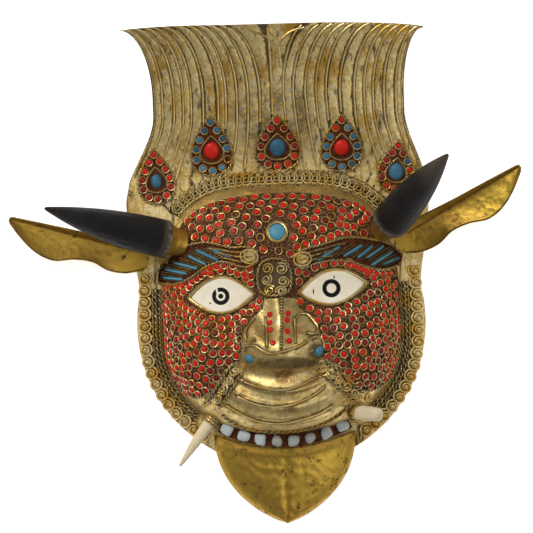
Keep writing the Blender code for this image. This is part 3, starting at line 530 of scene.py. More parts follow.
class Wire:
    """A shader socket that takes part in Python sums: each operation adds one Math node."""

    def __init__(self, graph, socket):
        self.graph = graph
        self.socket = socket

    def math(self, operation, first, second):
        """One Math node on two numbers or sockets."""
        return self.graph.node("Math", {"operation": operation}, {0: first, 1: second})

    def __add__(self, other):
        return self.math("ADD", self, other)

    __radd__ = __add__

    def __sub__(self, other):
        return self.math("SUBTRACT", self, other)

    def __rsub__(self, other):
        return self.math("SUBTRACT", other, self)

    def __mul__(self, other):
        return self.math("MULTIPLY", self, other)

    __rmul__ = __mul__

    def __truediv__(self, other):
        return self.math("DIVIDE", self, other)

    def __rtruediv__(self, other):
        return self.math("DIVIDE", other, self)

    def power(self, exponent):
        """This value to an exponent."""
        return self.math("POWER", self, exponent)

    def size(self):
        """This value without its sign."""
        return self.math("ABSOLUTE", self, 0.0)

    def greater(self, other):
        """The greater of two values."""
        return self.math("MAXIMUM", self, other)

    def rise(self, low, high):
        """0 up to low, 1 from high on, smooth between; falls when low is the larger."""
        span = {"From Min": low, "From Max": high}
        if low > high:
            span = {"From Min": high, "From Max": low, "To Min": 1.0, "To Max": 0.0}
        return self.graph.node("MapRange", {"interpolation_type": "SMOOTHSTEP"},
                               {"Value": self, **span})


class Finish:
    """A material under construction: one Principled shader, and nodes that shape its inputs."""

    def __init__(self, name):
        self.material = bpy.data.materials.new(f"{name} finish")
        self.material.use_nodes = True
        self.tree = self.material.node_tree
        self.tree.nodes.clear()
        self.place = self.node("TexCoord", output="Object")
        self.tone = self.node("Attribute", {"attribute_name": "tone"}, output="Fac")

    def node(self, kind, settings=None, sockets=None, output=0):
        """Any node: its settings and a ramp's stops come first, then its sockets' values or links."""
        node = self.tree.nodes.new("ShaderNode" + kind)
        for name, value in (settings or {}).items():
            if name == "stops":
                ramp = node.color_ramp
                for position, colour in value[2:]:
                    ramp.elements.new(position).color = (*colour, 1.0)
                for element, (position, colour) in zip((ramp.elements[0], ramp.elements[-1]),
                                                       (value[0], value[1])):
                    element.position = position
                    element.color = (*colour, 1.0)
            else:
                setattr(node, name, value)
        for key, value in (sockets or {}).items():
            if isinstance(value, Wire):
                self.tree.links.new(value.socket, node.inputs[key])
            else:
                node.inputs[key].default_value = value
        return Wire(self, node.outputs[output])

    def mix(self, share, first, second):
        """One colour, going over to the other as share goes from 0 to 1."""
        first, second = (value if isinstance(value, Wire) else (*value, 1.0)
                         for value in (first, second))
        return self.node("Mix", {"data_type": "RGBA"}, {0: share, 6: first, 7: second}, 2)

    def noise(self, size, detail=3.0, roughness=0.6, place=None, distortion=0.0):
        """Cloudy noise whose blotches are about this size across, from 0 to 1 about a half."""
        return self.node("TexNoise", None,
                         {"Vector": place or self.place, "Scale": 1.0 / size, "Detail": detail,
                          "Roughness": roughness, "Distortion": distortion}, "Fac")

    def cells(self, size, place=None):
        """The distance to the nearest of scattered points that stand about this far apart."""
        return self.node("TexVoronoi", None, {"Vector": place or self.place, "Scale": 1.0 / size},
                         "Distance")

    def axis(self, name):
        """One coordinate on the drawing, by its letter."""
        moved = self.node("Mapping", None, {"Vector": self.place, "Location": tuple(-SHIFT)})
        return self.node("SeparateXYZ", None, {"Vector": moved}, output=name)

    def spot(self, x, y, reach_x, reach_y):
        """1 around a place on the drawing, falling to 0 at its two reaches."""
        across = (self.axis("X") - x) / reach_x
        along = (self.axis("Y") - y) / reach_y
        return (across * across + along * along).rise(1.0, 0.25)

    def close(self, colour, roughness, metallic=0.0, height=None, depth=0.0004, **constants):
        """Ends the material: links what varies, sets what doesn't, and raises the surface by height."""
        sockets = {"Base Color": colour if isinstance(colour, Wire) else (*colour, 1.0),
                   "Roughness": roughness, "Metallic": metallic}
        sockets.update({name.replace("_", " "): value for name, value in constants.items()})
        if height is not None:
            sockets["Normal"] = self.node("Bump", None,
                                          {"Height": height, "Distance": depth, "Strength": 1.0})
        shader = self.node("BsdfPrincipled", None, sockets)
        output = self.tree.nodes.new("ShaderNodeOutputMaterial")
        self.tree.links.new(shader.socket, output.inputs["Surface"])
        return self.material


# Sizes and colours that a user would change

def length(label, text, value):
    """A length in the panel, in metres."""
    return bpy.props.FloatProperty(name=label, description=text, default=value, min=0.0001,
                                   unit="LENGTH")


def colour(label, text, value):
    """A linear colour in the panel."""
    return bpy.props.FloatVectorProperty(name=label, description=text, default=value, size=3, min=0.0,
                                         max=1.0, subtype="COLOR")


class MaskSizes(bpy.types.PropertyGroup):
    """Sizes of the small work that covers the mask."""

    bead_pitch: length("Bead pitch", "Distance between neighbouring coral beads", 0.0066)
    bead_radius: length("Bead radius", "Half the width of a coral bead", 0.00198)
    bead_wire: length("Bead ring wire", "Half the thickness of the ring around a bead", 0.00040)
    hair_wire: length("Hair wire", "Half the thickness of the wires along the hair", 0.00085)
    scroll_wire: length("Scroll wire", "Half the thickness of the curled wires", 0.00052)


class MaskColours(bpy.types.PropertyGroup):
    """Colours of the finishes."""

    gilt: colour("Gilding", "Clean aged gilding", (0.80, 0.58, 0.19))
    gilt_deep: colour("Deep gilding", "Gilding where it is thick and warm", (0.55, 0.325, 0.055))
    gilt_warm: colour("Warm gilding", "Yellow gilding of the ears and chin", (0.56, 0.36, 0.055))
    gilt_pale: colour("Worn gilding", "Gilding rubbed pale", (0.90, 0.78, 0.46))
    wire: colour("Wire", "Gilt wire rubbed bright", (0.68, 0.53, 0.24))
    # patina_and_shade: brown of real patina and grime, and also the colour of the painted shade beside
    # wires and under the nose
    patina_and_shade: colour("Patina", "Brown dirt in the hollows", (0.036, 0.020, 0.009))
    chalk: colour("Chalk", "Whitish specks on bare metal", (0.60, 0.56, 0.50))
    lac: colour("Lac", "Red-brown filling under the beads", (0.110, 0.029, 0.011))
    coral: colour("Coral", "Bright coral", (0.64, 0.020, 0.011))
    coral_deep: colour("Deep coral", "Dull and dark coral", (0.17, 0.011, 0.010))
    turquoise: colour("Turquoise", "Clear blue turquoise", (0.095, 0.31, 0.42))
    turquoise_deep: colour("Deep turquoise", "Dark and greyish turquoise", (0.026, 0.085, 0.15))
    bone: colour("Bone", "Smooth bone", (0.95, 0.86, 0.68))
    shell: colour("Shell", "Bluish white shell", (0.52, 0.58, 0.57))
    horn: colour("Horn", "Black horn", (0.008, 0.0075, 0.0075))
    horn_worn: colour("Worn horn", "Brown and grey streaks of horn", (0.11, 0.085, 0.062))
    floor: colour("Floor", "Pale floor", (0.86, 0.86, 0.86))


# Finishes

def gilt_finish(name, darkening_level=0.5, hammer=0.3, chalk=0.0, shine=0.36, grain=0.0022, streaks=0.0,
                warm=False, spot=None):
    """Aged gilding: golds in broad clouds, worn grain, brown streaks, and darkening where tone is high:
    grime, and painted shade beside the crown's wires and between the grains of beaded edges.
    """
    finish = Finish(name)
    shades = bpy.context.scene.mask_colours
    broad = finish.noise(0.026, 4.0, 0.62)
    middle = finish.noise(0.008, 5.0, 0.70, distortion=0.6)
    fine = finish.noise(grain, 4.0, 0.75)
    shade = finish.mix(broad.rise(0.38, 0.60), shades.gilt_deep,
                       shades.gilt_warm if warm else shades.gilt)
    if not warm:
        shade = finish.mix(fine.rise(0.40, 0.62) * 0.8 * broad.rise(0.30, 0.52), shade,
                           shades.gilt_pale)
    # darkening: grime from the noises, and from tone, which is painted shade beside the crown's wires
    # and between beaded grains
    darkening = (middle * 0.8 + fine * 0.5 + finish.tone * 0.62).rise(1.04 - 0.5 * darkening_level,
                                                                 1.23 - 0.5 * darkening_level)
    if streaks:
        stretched = finish.node("Mapping", None, {"Vector": finish.place, "Scale": (1.0, 0.10, 1.0)})
        darkening = darkening.greater(finish.noise(0.0035, 4.0, 0.65, place=stretched).rise(0.51, 0.70) * streaks)
    if spot:
        place = finish.spot(*spot)
        darkening = darkening.greater(place * (middle + fine * 0.6).rise(0.62, 0.95) * 0.85)
        specks = fine.rise(0.54, 0.64) * finish.noise(0.012).rise(0.42, 0.58) * place * 0.8
    shade = finish.mix(darkening * 0.92, shade, shades.patina_and_shade)
    if chalk:
        flecks = finish.noise(0.0014, 2.0, 0.5).rise(0.62, 0.70) * broad.rise(0.40, 0.62) * chalk
        shade = finish.mix(flecks.greater(specks) if spot else flecks, shade, shades.chalk)
    height = fine * 0.35 + finish.cells(0.006).rise(0.1, 0.9) * hammer + middle * 0.4
    return finish.close(shade, shine + darkening * 0.30 + fine * 0.14, 0.85 - darkening * 0.45, height, 0.0007,
                        Specular_IOR_Level=0.2)


def wire_finish(name, darkening_level=0.5):
    """Fine gilt wire: worn pale on top, brown between the turns, where the tone paints shade in the
    grooves, with some grime.
    """
    finish = Finish(name)
    shades = bpy.context.scene.mask_colours
    broad = finish.noise(0.016, 4.0, 0.65)
    fine = finish.noise(0.0016, 3.0, 0.7)
    shade = finish.mix(broad.rise(0.35, 0.60), shades.gilt_deep, shades.wire)
    # tone adds painted shade in the grooves of twisted and beaded wire to the noise grime
    darkening = (broad * 0.5 + fine * 0.6 + finish.tone * 0.6).rise(0.95 - 0.4 * darkening_level,
                                                               1.20 - 0.4 * darkening_level)
    shade = finish.mix(darkening * 0.92, shade, shades.patina_and_shade)
    return finish.close(shade, 0.36 + darkening * 0.25, 0.85 - darkening * 0.4, fine, 0.0003,
                        Specular_IOR_Level=0.2)


def stone_finish(name, bright, dull, roughness=0.32, darkening=0.35):
    """Polished stone: each piece has its own shade by its tone, with clouds and dark pits."""
    finish = Finish(name)
    shades = bpy.context.scene.mask_colours
    cloud = finish.noise(0.0030, 4.0, 0.65)
    fine = finish.noise(0.0008, 3.0, 0.7)
    shade = finish.mix((finish.tone + cloud * 0.5 - 0.25).rise(0.05, 0.95), bright, dull)
    pits = fine.rise(0.60, 0.72) * darkening
    shade = finish.mix(pits, shade, shades.patina_and_shade)
    return finish.close(shade, roughness + pits * 0.3 + finish.tone * 0.12, 0.0,
                        fine * 0.5 + cloud * 0.5, 0.00025, Specular_IOR_Level=0.2)


def lac_finish():
    """Dull red-brown lac with lighter crumbs of wax and dust."""
    finish = Finish("lac")
    shades = bpy.context.scene.mask_colours
    cloud = finish.noise(0.004, 4.0, 0.65)
    crumbs = finish.noise(0.0011, 2.0, 0.6)
    shade = finish.mix(cloud.rise(0.35, 0.65), tuple(0.45 * value for value in shades.lac), shades.lac)
    shade = finish.mix(crumbs.rise(0.62, 0.70) * 0.35, shade, (0.26, 0.17, 0.08))
    return finish.close(shade, 0.62 + crumbs * 0.2, 0.0, cloud * 0.4 + crumbs, 0.0004,
                        Specular_IOR_Level=0.06)


def face_finish():
    """The face's sheet: gilding where tone is 0, dusty lac under the beads where it is 1, painted shade
    beside the wires at tone between, and a painted shadow under the nose.
    """
    finish = Finish("face gilding")
    shades = bpy.context.scene.mask_colours
    broad = finish.noise(0.022, 4.0, 0.62)
    middle = finish.noise(0.007, 5.0, 0.70, distortion=0.8)
    fine = finish.noise(0.0018, 4.0, 0.75)
    gilt = finish.mix(broad.rise(0.36, 0.54), shades.gilt_deep, shades.gilt)
    gilt = finish.mix(fine.rise(0.42, 0.62) * 0.7, gilt, shades.gilt_pale)
    rust = finish.spot(0.001, -0.0670, 0.010, 0.006) * middle.rise(0.32, 0.5)
    gilt = finish.mix(rust * 0.8, gilt, (0.34, 0.13, 0.025))
    # darkening: grime from the noises, and painted shade beside the muzzle and nose wires, whose tone
    # is WIRE_SHADOW
    darkening = (middle * 0.8 + fine * 0.45 + finish.tone * 1.5).rise(0.54, 0.86)
    # painted shadow under the nose's bulb
    shadow = finish.spot(0.004, -0.0575, 0.030, 0.0055) * 0.9
    darkening = darkening.greater(shadow * (0.5 + middle))
    # a darker patch around the right nostril
    darkening = darkening.greater(finish.spot(0.0240, -0.0500, 0.0095, 0.0080)
                        * (middle + fine * 0.6).rise(0.50, 0.85))
    gilt = finish.mix(darkening * 0.85, gilt, shades.patina_and_shade)
    crumbs = finish.noise(0.0012, 2.0, 0.6)
    lac = finish.mix(finish.noise(0.004).rise(0.35, 0.65), tuple(0.5 * value for value in shades.lac),
                     shades.lac)
    lac = finish.mix(crumbs.rise(0.50, 0.64) * 0.70, lac, (0.28, 0.19, 0.095))
    covered = finish.tone.rise(0.3, 0.7)
    shade = finish.mix(covered, gilt, lac)
    metal = (0.9 - darkening * 0.45) * (1.0 - covered)
    height = middle * 0.7 + fine * 0.3 + crumbs * covered * 0.6
    return finish.close(shade, 0.32 + darkening * 0.28 + covered * 0.25, metal, height, 0.0008,
                        Specular_IOR_Level=0.15)


def bone_finish(name, pupil=None):
    """Cream bone with fine grain; an eye's pupil is a black ring and dot painted about a point."""
    finish = Finish(name)
    shades = bpy.context.scene.mask_colours
    stretched = finish.node("Mapping", None, {"Vector": finish.place, "Scale": (1.0, 0.25, 1.0)})
    grain = finish.noise(0.0012, 3.0, 0.6, place=stretched)
    cloud = finish.noise(0.010, 3.0, 0.5)
    shade = finish.mix(cloud.rise(0.35, 0.7) * 0.5, shades.bone, (0.80, 0.70, 0.48))
    shade = finish.mix(grain.rise(0.60, 0.78) * 0.30, shade, (0.50, 0.40, 0.26))
    shade = finish.mix(finish.tone * 0.8, shade, (0.30, 0.22, 0.12))
    if not pupil:
        shade = finish.mix(0.25 + grain * 0.4, shade, (0.80, 0.60, 0.30))
    if pupil:
        across = finish.axis("X") - pupil["x"]
        along = finish.axis("Y") - pupil["y"]
        reach = (across * across + along * along).power(0.5)
        ink = reach.rise(pupil["inner"] - 0.0002, pupil["inner"] + 0.0002) \
            * reach.rise(pupil["outer"] + 0.0002, pupil["outer"] - 0.0002)
        if pupil["gap"]:
            gap = (across + along * 0.2 + 0.0018).size().rise(0.0004, 0.0009)
            ink = ink * (1.0 - (1.0 - gap) * along.rise(0.0016, 0.0022))
        if pupil["dot"]:
            ink = ink.greater(reach.rise(pupil["dot"] + 0.0002, pupil["dot"] - 0.0002))
        for tick in pupil["ticks"]:
            ink = ink.greater(finish.spot(*tick))
        shade = finish.mix(ink, shade, (0.006, 0.006, 0.008))
    return finish.close(shade, 0.42 + grain * 0.12, 0.0, grain + cloud, 0.0002, Specular_IOR_Level=0.1)


def horn_finish(name, worn):
    """Black horn with lengthwise grain; brown and grey where tone is high."""
    finish = Finish(name)
    shades = bpy.context.scene.mask_colours
    grain = finish.noise(0.0022, 5.0, 0.72, distortion=1.2)
    cloud = finish.noise(0.012, 4.0, 0.65)
    wear = (finish.tone * 0.7 + cloud * 0.5 + grain * 0.4).rise(0.42, 1.05)
    shade = finish.mix(wear * worn, shades.horn, shades.horn_worn)
    chipped = finish.tone.rise(0.97, 1.0) * finish.noise(0.005, 4.0, 0.7).rise(0.45, 0.60)
    shade = finish.mix(chipped * 0.8, shade, (0.24, 0.20, 0.15))
    return finish.close(shade, 0.36 + grain * 0.18 + wear * 0.15, 0.0, grain + cloud, 0.0018,
                        Specular_IOR_Level=0.25)


def floor_finish():
    """A plain pale floor."""
    finish = Finish("floor")
    shades = bpy.context.scene.mask_colours
    return finish.close(shades.floor, 0.8, Emission_Color=(1.0, 1.0, 1.0, 1.0), Emission_Strength=0.70)


FINISHES = {"crown gilding": lambda: gilt_finish("crown gilding", 0.44, 0.15, chalk=0.6, streaks=1.0,
                                                 spot=(0.002, 0.112, 0.042, 0.036)),
            "sheet gilding": lambda: gilt_finish("sheet gilding", 0.85, 0.30, chalk=0.25),
            "ear gilding": lambda: gilt_finish("ear gilding", 0.70, 0.40, grain=0.0030, warm=True),
            "chin gilding": lambda: gilt_finish("chin gilding", 0.76, 0.18, grain=0.0026, warm=True),
            "collar gilding": lambda: gilt_finish("collar gilding", 0.58, 0.40, warm=True),
            "face gilding": face_finish, "bright wire": lambda: wire_finish("bright wire", 0.90),
            "lac": lac_finish, "horn left": lambda: horn_finish("horn left", 0.6),
            "horn right": lambda: horn_finish("horn right", 0.75),
            "coral": lambda: stone_finish("coral", bpy.context.scene.mask_colours.coral,
                                          bpy.context.scene.mask_colours.coral_deep),
            "turquoise": lambda: stone_finish("turquoise", bpy.context.scene.mask_colours.turquoise,
                                              bpy.context.scene.mask_colours.turquoise_deep),
            "shell": lambda: stone_finish("shell", bpy.context.scene.mask_colours.shell,
                                          (0.30, 0.26, 0.20), 0.3, 0.8),
            "eye left": lambda: bone_finish("eye left",
                                            dict(x=-0.0416, y=-0.0099, inner=0.0032, outer=0.0061,
                                                 gap=True, dot=0.0018,
                                                 ticks=[(-0.0491, -0.0145, 0.0008, 0.0008)])),
            "eye right": lambda: bone_finish("eye right",
                                             dict(x=0.0355, y=-0.0068, inner=0.0034, outer=0.0064,
                                                  gap=False, dot=0.0,
                                                  ticks=[(0.0229, -0.0087, 0.0006, 0.0024),
                                                         (0.0376, 0.0008, 0.0006, 0.0015)])),
            "tusk bone": lambda: bone_finish("tusk bone"), "floor": floor_finish,}


def finish_of(name):
    """The finish of this name, made at its first use; the frame's own materials have other names."""
    return bpy.data.materials.get(f"{name} finish") or FINISHES[name]()


# The sheet and the hair

STRAND_COLUMNS = 12
FRAME_COLUMNS = 9
FRAME_STEPS = 150
STRAND_FOOT = 0.072
STRAND_ROWS = 16
RIDGE_FROM = 0.084
RIDGE_OVER = 0.034
RIDGE_SHARE = 0.75
VALLEY_WIDTH = 0.20


def strand_number(side, share):
    """Counts the strands outwards from a half in the middle; a whole number lies under a wire."""
    marks = (0.0, *WIRE_SHARES[side], 1.0)
    return np.interp(share, marks, (0.5, *range(1, len(marks))))


def crown_half(side):
    """One half of the crown in rows from its foot to its top edge: x, y, front, back and tone.

    Between two wires the sheet swells as the size of a sine. The tone is high beside the wires, for
    painted shade along them with some grime.
    """
    share = np.linspace(0, 1, STRAND_COLUMNS * (len(WIRE_SHARES[side]) + 1) + 1)
    inside = len(share) - FRAME_COLUMNS
    corner = math.radians(FRAME_START)
    hole = face_outline(np.linspace(math.pi / 2, corner, inside + 1), -HOLE_MARGIN)
    outwards = np.linspace(0, 1, FRAME_COLUMNS)[:, None]
    foot = np.vstack([hole[:-1], hole[-1] + outwards * (frame_edge(corner) - hole[-1])])
    x, y = strand_line(side, share, np.linspace(STRAND_FOOT, STRANDS_END, STRAND_ROWS)[:, None])
    x = np.vstack([side * foot[:, 0], x])
    y = np.vstack([foot[:, 1], y])
    number = strand_number(side, share)
    fade = smoothstep((y - RIDGE_FROM) / RIDGE_OVER)
    ridge = STRAND_HEIGHT * RIDGE_SHARE * np.abs(np.sin(np.pi * number)) ** 0.5 * fade
    # beside: painted shade along each wire, with some grime, which the finish darkens
    beside = np.exp(-((number - np.round(number)) / VALLEY_WIDTH) ** 2) * (0.45 + 0.55 * fade)
    beside = beside * (0.2 + 0.8 * smoothstep(number * 10 - 9))
    return np.stack([x, y, SHEET + crown_height(x, y) + ridge, crown_height(x, y), beside], axis=-1)


def frame_rows():
    """The frame around the lower face, in rows from its edge to the hole, right round the chin."""
    start = math.radians(FRAME_START)
    angle = np.linspace(start, -math.pi - start, FRAME_STEPS)
    side = np.where(angle > -math.pi / 2, 1.0, -1.0)
    mirrored = np.where(side > 0, angle, -math.pi - angle)
    turned = np.stack([side, np.ones_like(side)], axis=-1)
    edge = (frame_edge(mirrored) * turned)[:, None, :]
    hole = (face_outline(mirrored, -HOLE_MARGIN) * turned)[:, None, :]
    flat = edge + np.linspace(0, 1, FRAME_COLUMNS)[None, :, None] * (hole - edge)
    rest = np.zeros((*flat.shape[:2], 3)) + (SHEET, 0.0, 0.0)
    return np.concatenate([flat, rest], axis=-1)


def weld(blocks):
    """Joins grids that share border points into one set of points and of faces seen from the front."""
    points = np.vstack([block.reshape(-1, block.shape[-1]) for block in blocks])
    _, first, index = np.unique(np.round(points[:, :2] * 1e5), axis=0, return_index=True,
                                return_inverse=True)
    index = index.ravel()
    faces = []
    start = 0
    for block in blocks:
        quads = grid_faces(*block.shape[:2]) + start
        corners = points[quads, :2]
        diagonals = corners[:, 2] - corners[:, 0], corners[:, 3] - corners[:, 1]
        area = np.sum(diagonals[0][:, 0] * diagonals[1][:, 1] - diagonals[0][:, 1] * diagonals[1][:, 0])
        faces.append(index[quads if area > 0 else quads[:, ::-1]])
        start += block.shape[0] * block.shape[1]
    return points[first], np.vstack(faces)


def drop_outline(jewel, width=1.0, height=1.0, lower=0.0, count=64):
    """A drop with its point up: x goes as sin(t)*sin(t/2) and y as cos(t), lowered along its axis."""
    angle = full_turn(count)
    x = width * jewel["width"] / 2 * np.sin(angle) * np.sin(angle / 2) / DROP_FULLNESS
    y = height * jewel["height"] / 2 * np.cos(angle) - lower
    turn = math.radians(jewel["turn"])
    return np.column_stack([jewel["x"] + x * math.cos(turn) - y * math.sin(turn),
                            jewel["y"] + x * math.sin(turn) + y * math.cos(turn)])


def inside_polygon(flat, outline):
    """True where a point lies inside: a ray from it crosses the outline an odd number of times."""
    x, y = flat[:, 0][:, None], flat[:, 1][:, None]
    x1, y1 = outline[:, 0][None], outline[:, 1][None]
    x2, y2 = np.roll(outline, -1, axis=0).T[:, None, :]
    crosses = ((y1 > y) != (y2 > y)) & (x < (x2 - x1) * (y - y1) / (y2 - y1 + 1e-12) + x1)
    return crosses.sum(axis=1) % 2 == 1


JEWELS = (
    dict(x=-0.0848, y=0.0756, width=0.0262, height=0.0395, turn=4.0, stone_x=0.0038, stone_y=0.0050),
    dict(x=-0.0450, y=0.0957, width=0.0296, height=0.0425, turn=1.0, stone_x=0.0054, stone_y=0.0060),
    dict(x=0.0015, y=0.0964, width=0.0322, height=0.0398, turn=0.0, stone_x=0.0058, stone_y=0.0062),
    dict(x=0.0465, y=0.0950, width=0.0294, height=0.0410, turn=-1.0, stone_x=0.0054, stone_y=0.0056),
    dict(x=0.0846, y=0.0770, width=0.0262, height=0.0380, turn=-6.0, stone_x=0.0052, stone_y=0.0060),
)
DROP_FULLNESS = 0.77
STONE_DROP = 0.0035
BAND_CLEAR = 0.0006
BAND_WIDTH = 0.0092


class MASK_OT_crown(bpy.types.Operator):
    """Builds the crown and the frame around the face as one fluted sheet with a hole behind the face"""

    bl_idname = "mask.crown"
    bl_label = "Crown sheet"

    def execute(self, context):
        points, faces = weld([crown_half(-1), crown_half(1), frame_rows()])
        front = points[:, [0, 1, 2]]
        back = points[:, [0, 1, 3]]
        solid, faces = close_between(front, back, faces)
        sheet = Shape().add(solid, faces, np.concatenate([points[:, 4], points[:, 4]]))
        make_piece("crown", sheet, finish_of("crown gilding"), ("crown_sheet",))
        return {"FINISHED"}


WIRE_FOOT = 0.066
WIRE_ROWS = 24
EDGE_SHARE = 0.978
EDGE_FOOT = 0.075
EDGE_BEADING = dict(radius=0.00095, pitch=0.0017)
PARTING_WIRES = (
    ((-0.0165, 0.1755), (-0.0045, 0.1700), (0.0020, 0.1640)),
    ((0.0225, 0.1755), (0.0120, 0.1725), (0.0050, 0.1655), (0.0045, 0.1560)),
    ((0.0035, 0.1640), (0.0048, 0.1560), (0.0050, 0.1500)),
)


class MASK_OT_hair_wires(bpy.types.Operator):
    """Lays a wire in every valley of the hair, from the top edge to a jewel or the forehead band"""

    bl_idname = "mask.hair_wires"
    bl_label = "Hair wires"

    def execute(self, context):
        radius = context.scene.mask_sizes.hair_wire
        low = np.linspace(WIRE_FOOT, STRANDS_END, WIRE_ROWS)[:, None]
        wires = Shape()
        for side in (-1, 1):
            for share, end in zip(WIRE_SHARES[side], WIRE_ENDS[side]):
                x, y = strand_line(side, np.array([share]), low)
                flat = even_steps(np.column_stack([x[:, 0], y[:, 0]]), 0.0012)[:-1]
                flat = flat[flat[:, 1] < CROWN_TOP - radius]
                blocked = (face_radius(flat[:, 0], flat[:, 1] - BAND_WIDTH) < 1.0) | (flat[:, 1] < end)
                for jewel in JEWELS:
                    blocked |= inside_polygon(flat, drop_outline(jewel, 1.04, 1.04))
                start = np.flatnonzero(blocked).max(initial=-1) + 1
                wires.add(*tube(on_skin(flat[start:-1], radius * 0.8), radius, 8))
            x, y = strand_line(side, np.array([EDGE_SHARE]),
                               np.linspace(EDGE_FOOT, STRANDS_END, WIRE_ROWS)[:, None])
            edge = even_steps(np.column_stack([x[:, 0], y[:, 0]]), 0.001)
            edge = edge[edge[:, 1] < CROWN_TOP - 0.004]
            wires.add(*beaded(on_skin(edge, 0.0004), **EDGE_BEADING))
        for route in PARTING_WIRES:
            wires.add(*tube(on_skin(smooth_path(route), radius * 0.8), radius, 8))
        curl = scroll(0.0, 0.1715, 0.0040, 60.0, 800.0, 0.85, 50)
        wires.add(*tube(on_skin(curl, 0.0007), 0.0006))
        make_piece("hair_wires", wires, finish_of("bright wire"))
        return {"FINISHED"}


FACE_SPOKES = 240
FACE_RINGS = 120
WIRE_SHADOW = 0.29


def routed(route, lift):
    """A drawn route, smoothed and laid on the skin."""
    return on_skin(smooth_path(drawn(*route)), lift)


def near_paths(flat, routes, reach=0.0011):
    """Falls from 1 on the drawn paths as exp(-(distance/reach)^2)."""
    paths = np.vstack([smooth_path(drawn(*route), 0.0012) for route in routes])
    gap = ((flat[:, None, :] - paths[None, :, :]) ** 2).sum(axis=-1).min(axis=1)
    return np.exp(-gap / reach ** 2)


class MASK_OT_face(bpy.types.Operator):
    """Builds the beaten face as a shell of even wall, with lac where the beads lie"""

    bl_idname = "mask.face"
    bl_label = "Face shell"

    def execute(self, context):
        angle = full_turn(FACE_SPOKES)
        share = np.sin(np.arange(1, FACE_RINGS + 1) / FACE_RINGS * np.pi / 2)
        rim = face_outline(angle)
        pole = np.array([0.0, NOSE_FOOT])
        flat = np.vstack([pole[None], (pole + share[:, None, None] * (rim - pole)).reshape(-1, 2)])
        x, y = flat.T
        front = np.column_stack([x, y, SHEET + GAP + face_height(x, y)])
        normal = skin_normal(x, y)
        outer = slice(len(flat) - FACE_SPOKES, len(flat))
        normal[outer] = unit(normal[outer] * (1, 1, 0))
        back = front - SHELL_WALL * normal
        quads = grid_faces(FACE_RINGS, FACE_SPOKES, wrap_columns=True)[:, ::-1] + 1
        solid, faces = close_between(front, back, fan_faces(0, np.arange(1, FACE_SPOKES + 1)), quads)
        # tone: 1 under the lac, and WIRE_SHADOW beside the muzzle and nose wires, where the finish
        # paints shade
        tone = np.maximum(bead_ground(flat), WIRE_SHADOW * near_paths(flat, MUZZLE_WIRES + NOSE_WIRES))
        make_piece("face", Shape().add(solid, faces, np.concatenate([tone, 0 * tone])),
                   finish_of("face gilding"), ("face_shell",), 60)
        return {"FINISHED"}


# Where the beads lie, and what they leave free

def drawn(*points):
    """Points of the drawing that are given in millimetres."""
    return np.array(points) / 1000


LEFT_CHEEK = drawn((-84.9, -47.7), (-82.4, -57.6), (-76.8, -71.0), (-67.7, -78.3), (-61.1, -80.0),
                   (-54.4, -78.8), (-48.8, -75.2), (-43.2, -66.5), (-36.9, -58.8), (-30.7, -55.7))
RIGHT_CHEEK = LEFT_CHEEK * (-1, 1) + (-0.0021, 0.0012)
BEAD_TOP = drawn((-76, 30), (-65.8, 43.5), (-58.6, 49.7), (-46.5, 55.2), (-33.1, 58.5), (-11.6, 61))
NOSE_SIDES = drawn((28, -46), (25.5, -33), (19, -24), (12.5, -19), (10.5, -12), (-11.5, -12),
                   (-13, -20), (-20, -25), (-27, -34), (-28.5, -46))
BEAD_ZONE = np.vstack([BEAD_TOP, BEAD_TOP[::-1] * (-1, 1), drawn((83, 5), (83.5, -25)), RIGHT_CHEEK,
                       NOSE_SIDES, LEFT_CHEEK[::-1], drawn((-83.5, -25), (-83, 5))])
BROWS = {-1: dict(upper=drawn((-14.5, 20.0), (-20.5, 23.2), (-33.0, 23.6), (-51.8, 27.5), (-63.6, 25.5),
                              (-76.5, 17.9), (-85.1, 9.1)),
                  lower=drawn((-14.2, 14.0), (-21.0, 10.4), (-41.7, 14.0), (-52.4, 10.1), (-61.9, 3.4),
                              (-73.6, -0.9), (-85.7, 1.2))),
         1: dict(upper=drawn((9.5, 16.5), (15.9, 20.2), (30.0, 23.8), (46.9, 27.9), (60.8, 26.7),
                             (81.5, 19.8), (87.1, 14.7)),
                 lower=drawn((9.5, 11.0), (15.0, 8.0), (25.4, 11.0), (37.1, 12.6), (48.7, 11.4),
                             (60.2, 7.2), (71.6, 4.8), (85.5, 9.0))),}
EYES = {
    -1: dict(inner=(-0.0195, -0.0095), outer=(-0.0625, -0.0105), upper=0.0130, lower=0.0115),
    1: dict(inner=(0.0140, -0.0090), outer=(0.0592, -0.0045), upper=0.0125, lower=0.0110),
}
PLAQUE = dict(x=-0.0040, y=0.0020, width=0.0230, height=0.0262)
FOREHEAD_STONE = dict(x=-0.0010, y=0.0335, radius=0.0058)
BEAD_RIM = 0.990
STONE_CLEAR = 0.0072
HORN_CLEAR = 0.0105
HORN_FEET = ((-0.0735, 0.0295), (0.0740, 0.0345))


def almond(eye, count=40, grow=1.0):
    """An eye's outline: two lids that rise and fall as a sine between the corners."""
    inner = np.array(eye["inner"])
    outer = np.array(eye["outer"])
    share = np.arange(count) / count
    rise = np.sin(np.pi * share)[:, None] ** 0.85 * np.array([[0.0, 1.0]])
    outline = np.vstack([inner + share[:, None] * (outer - inner) + rise * eye["upper"],
                         outer + share[:, None] * (inner - outer) - rise * eye["lower"]])
    middle = (inner + outer) / 2
    return middle + grow * (outline - middle)


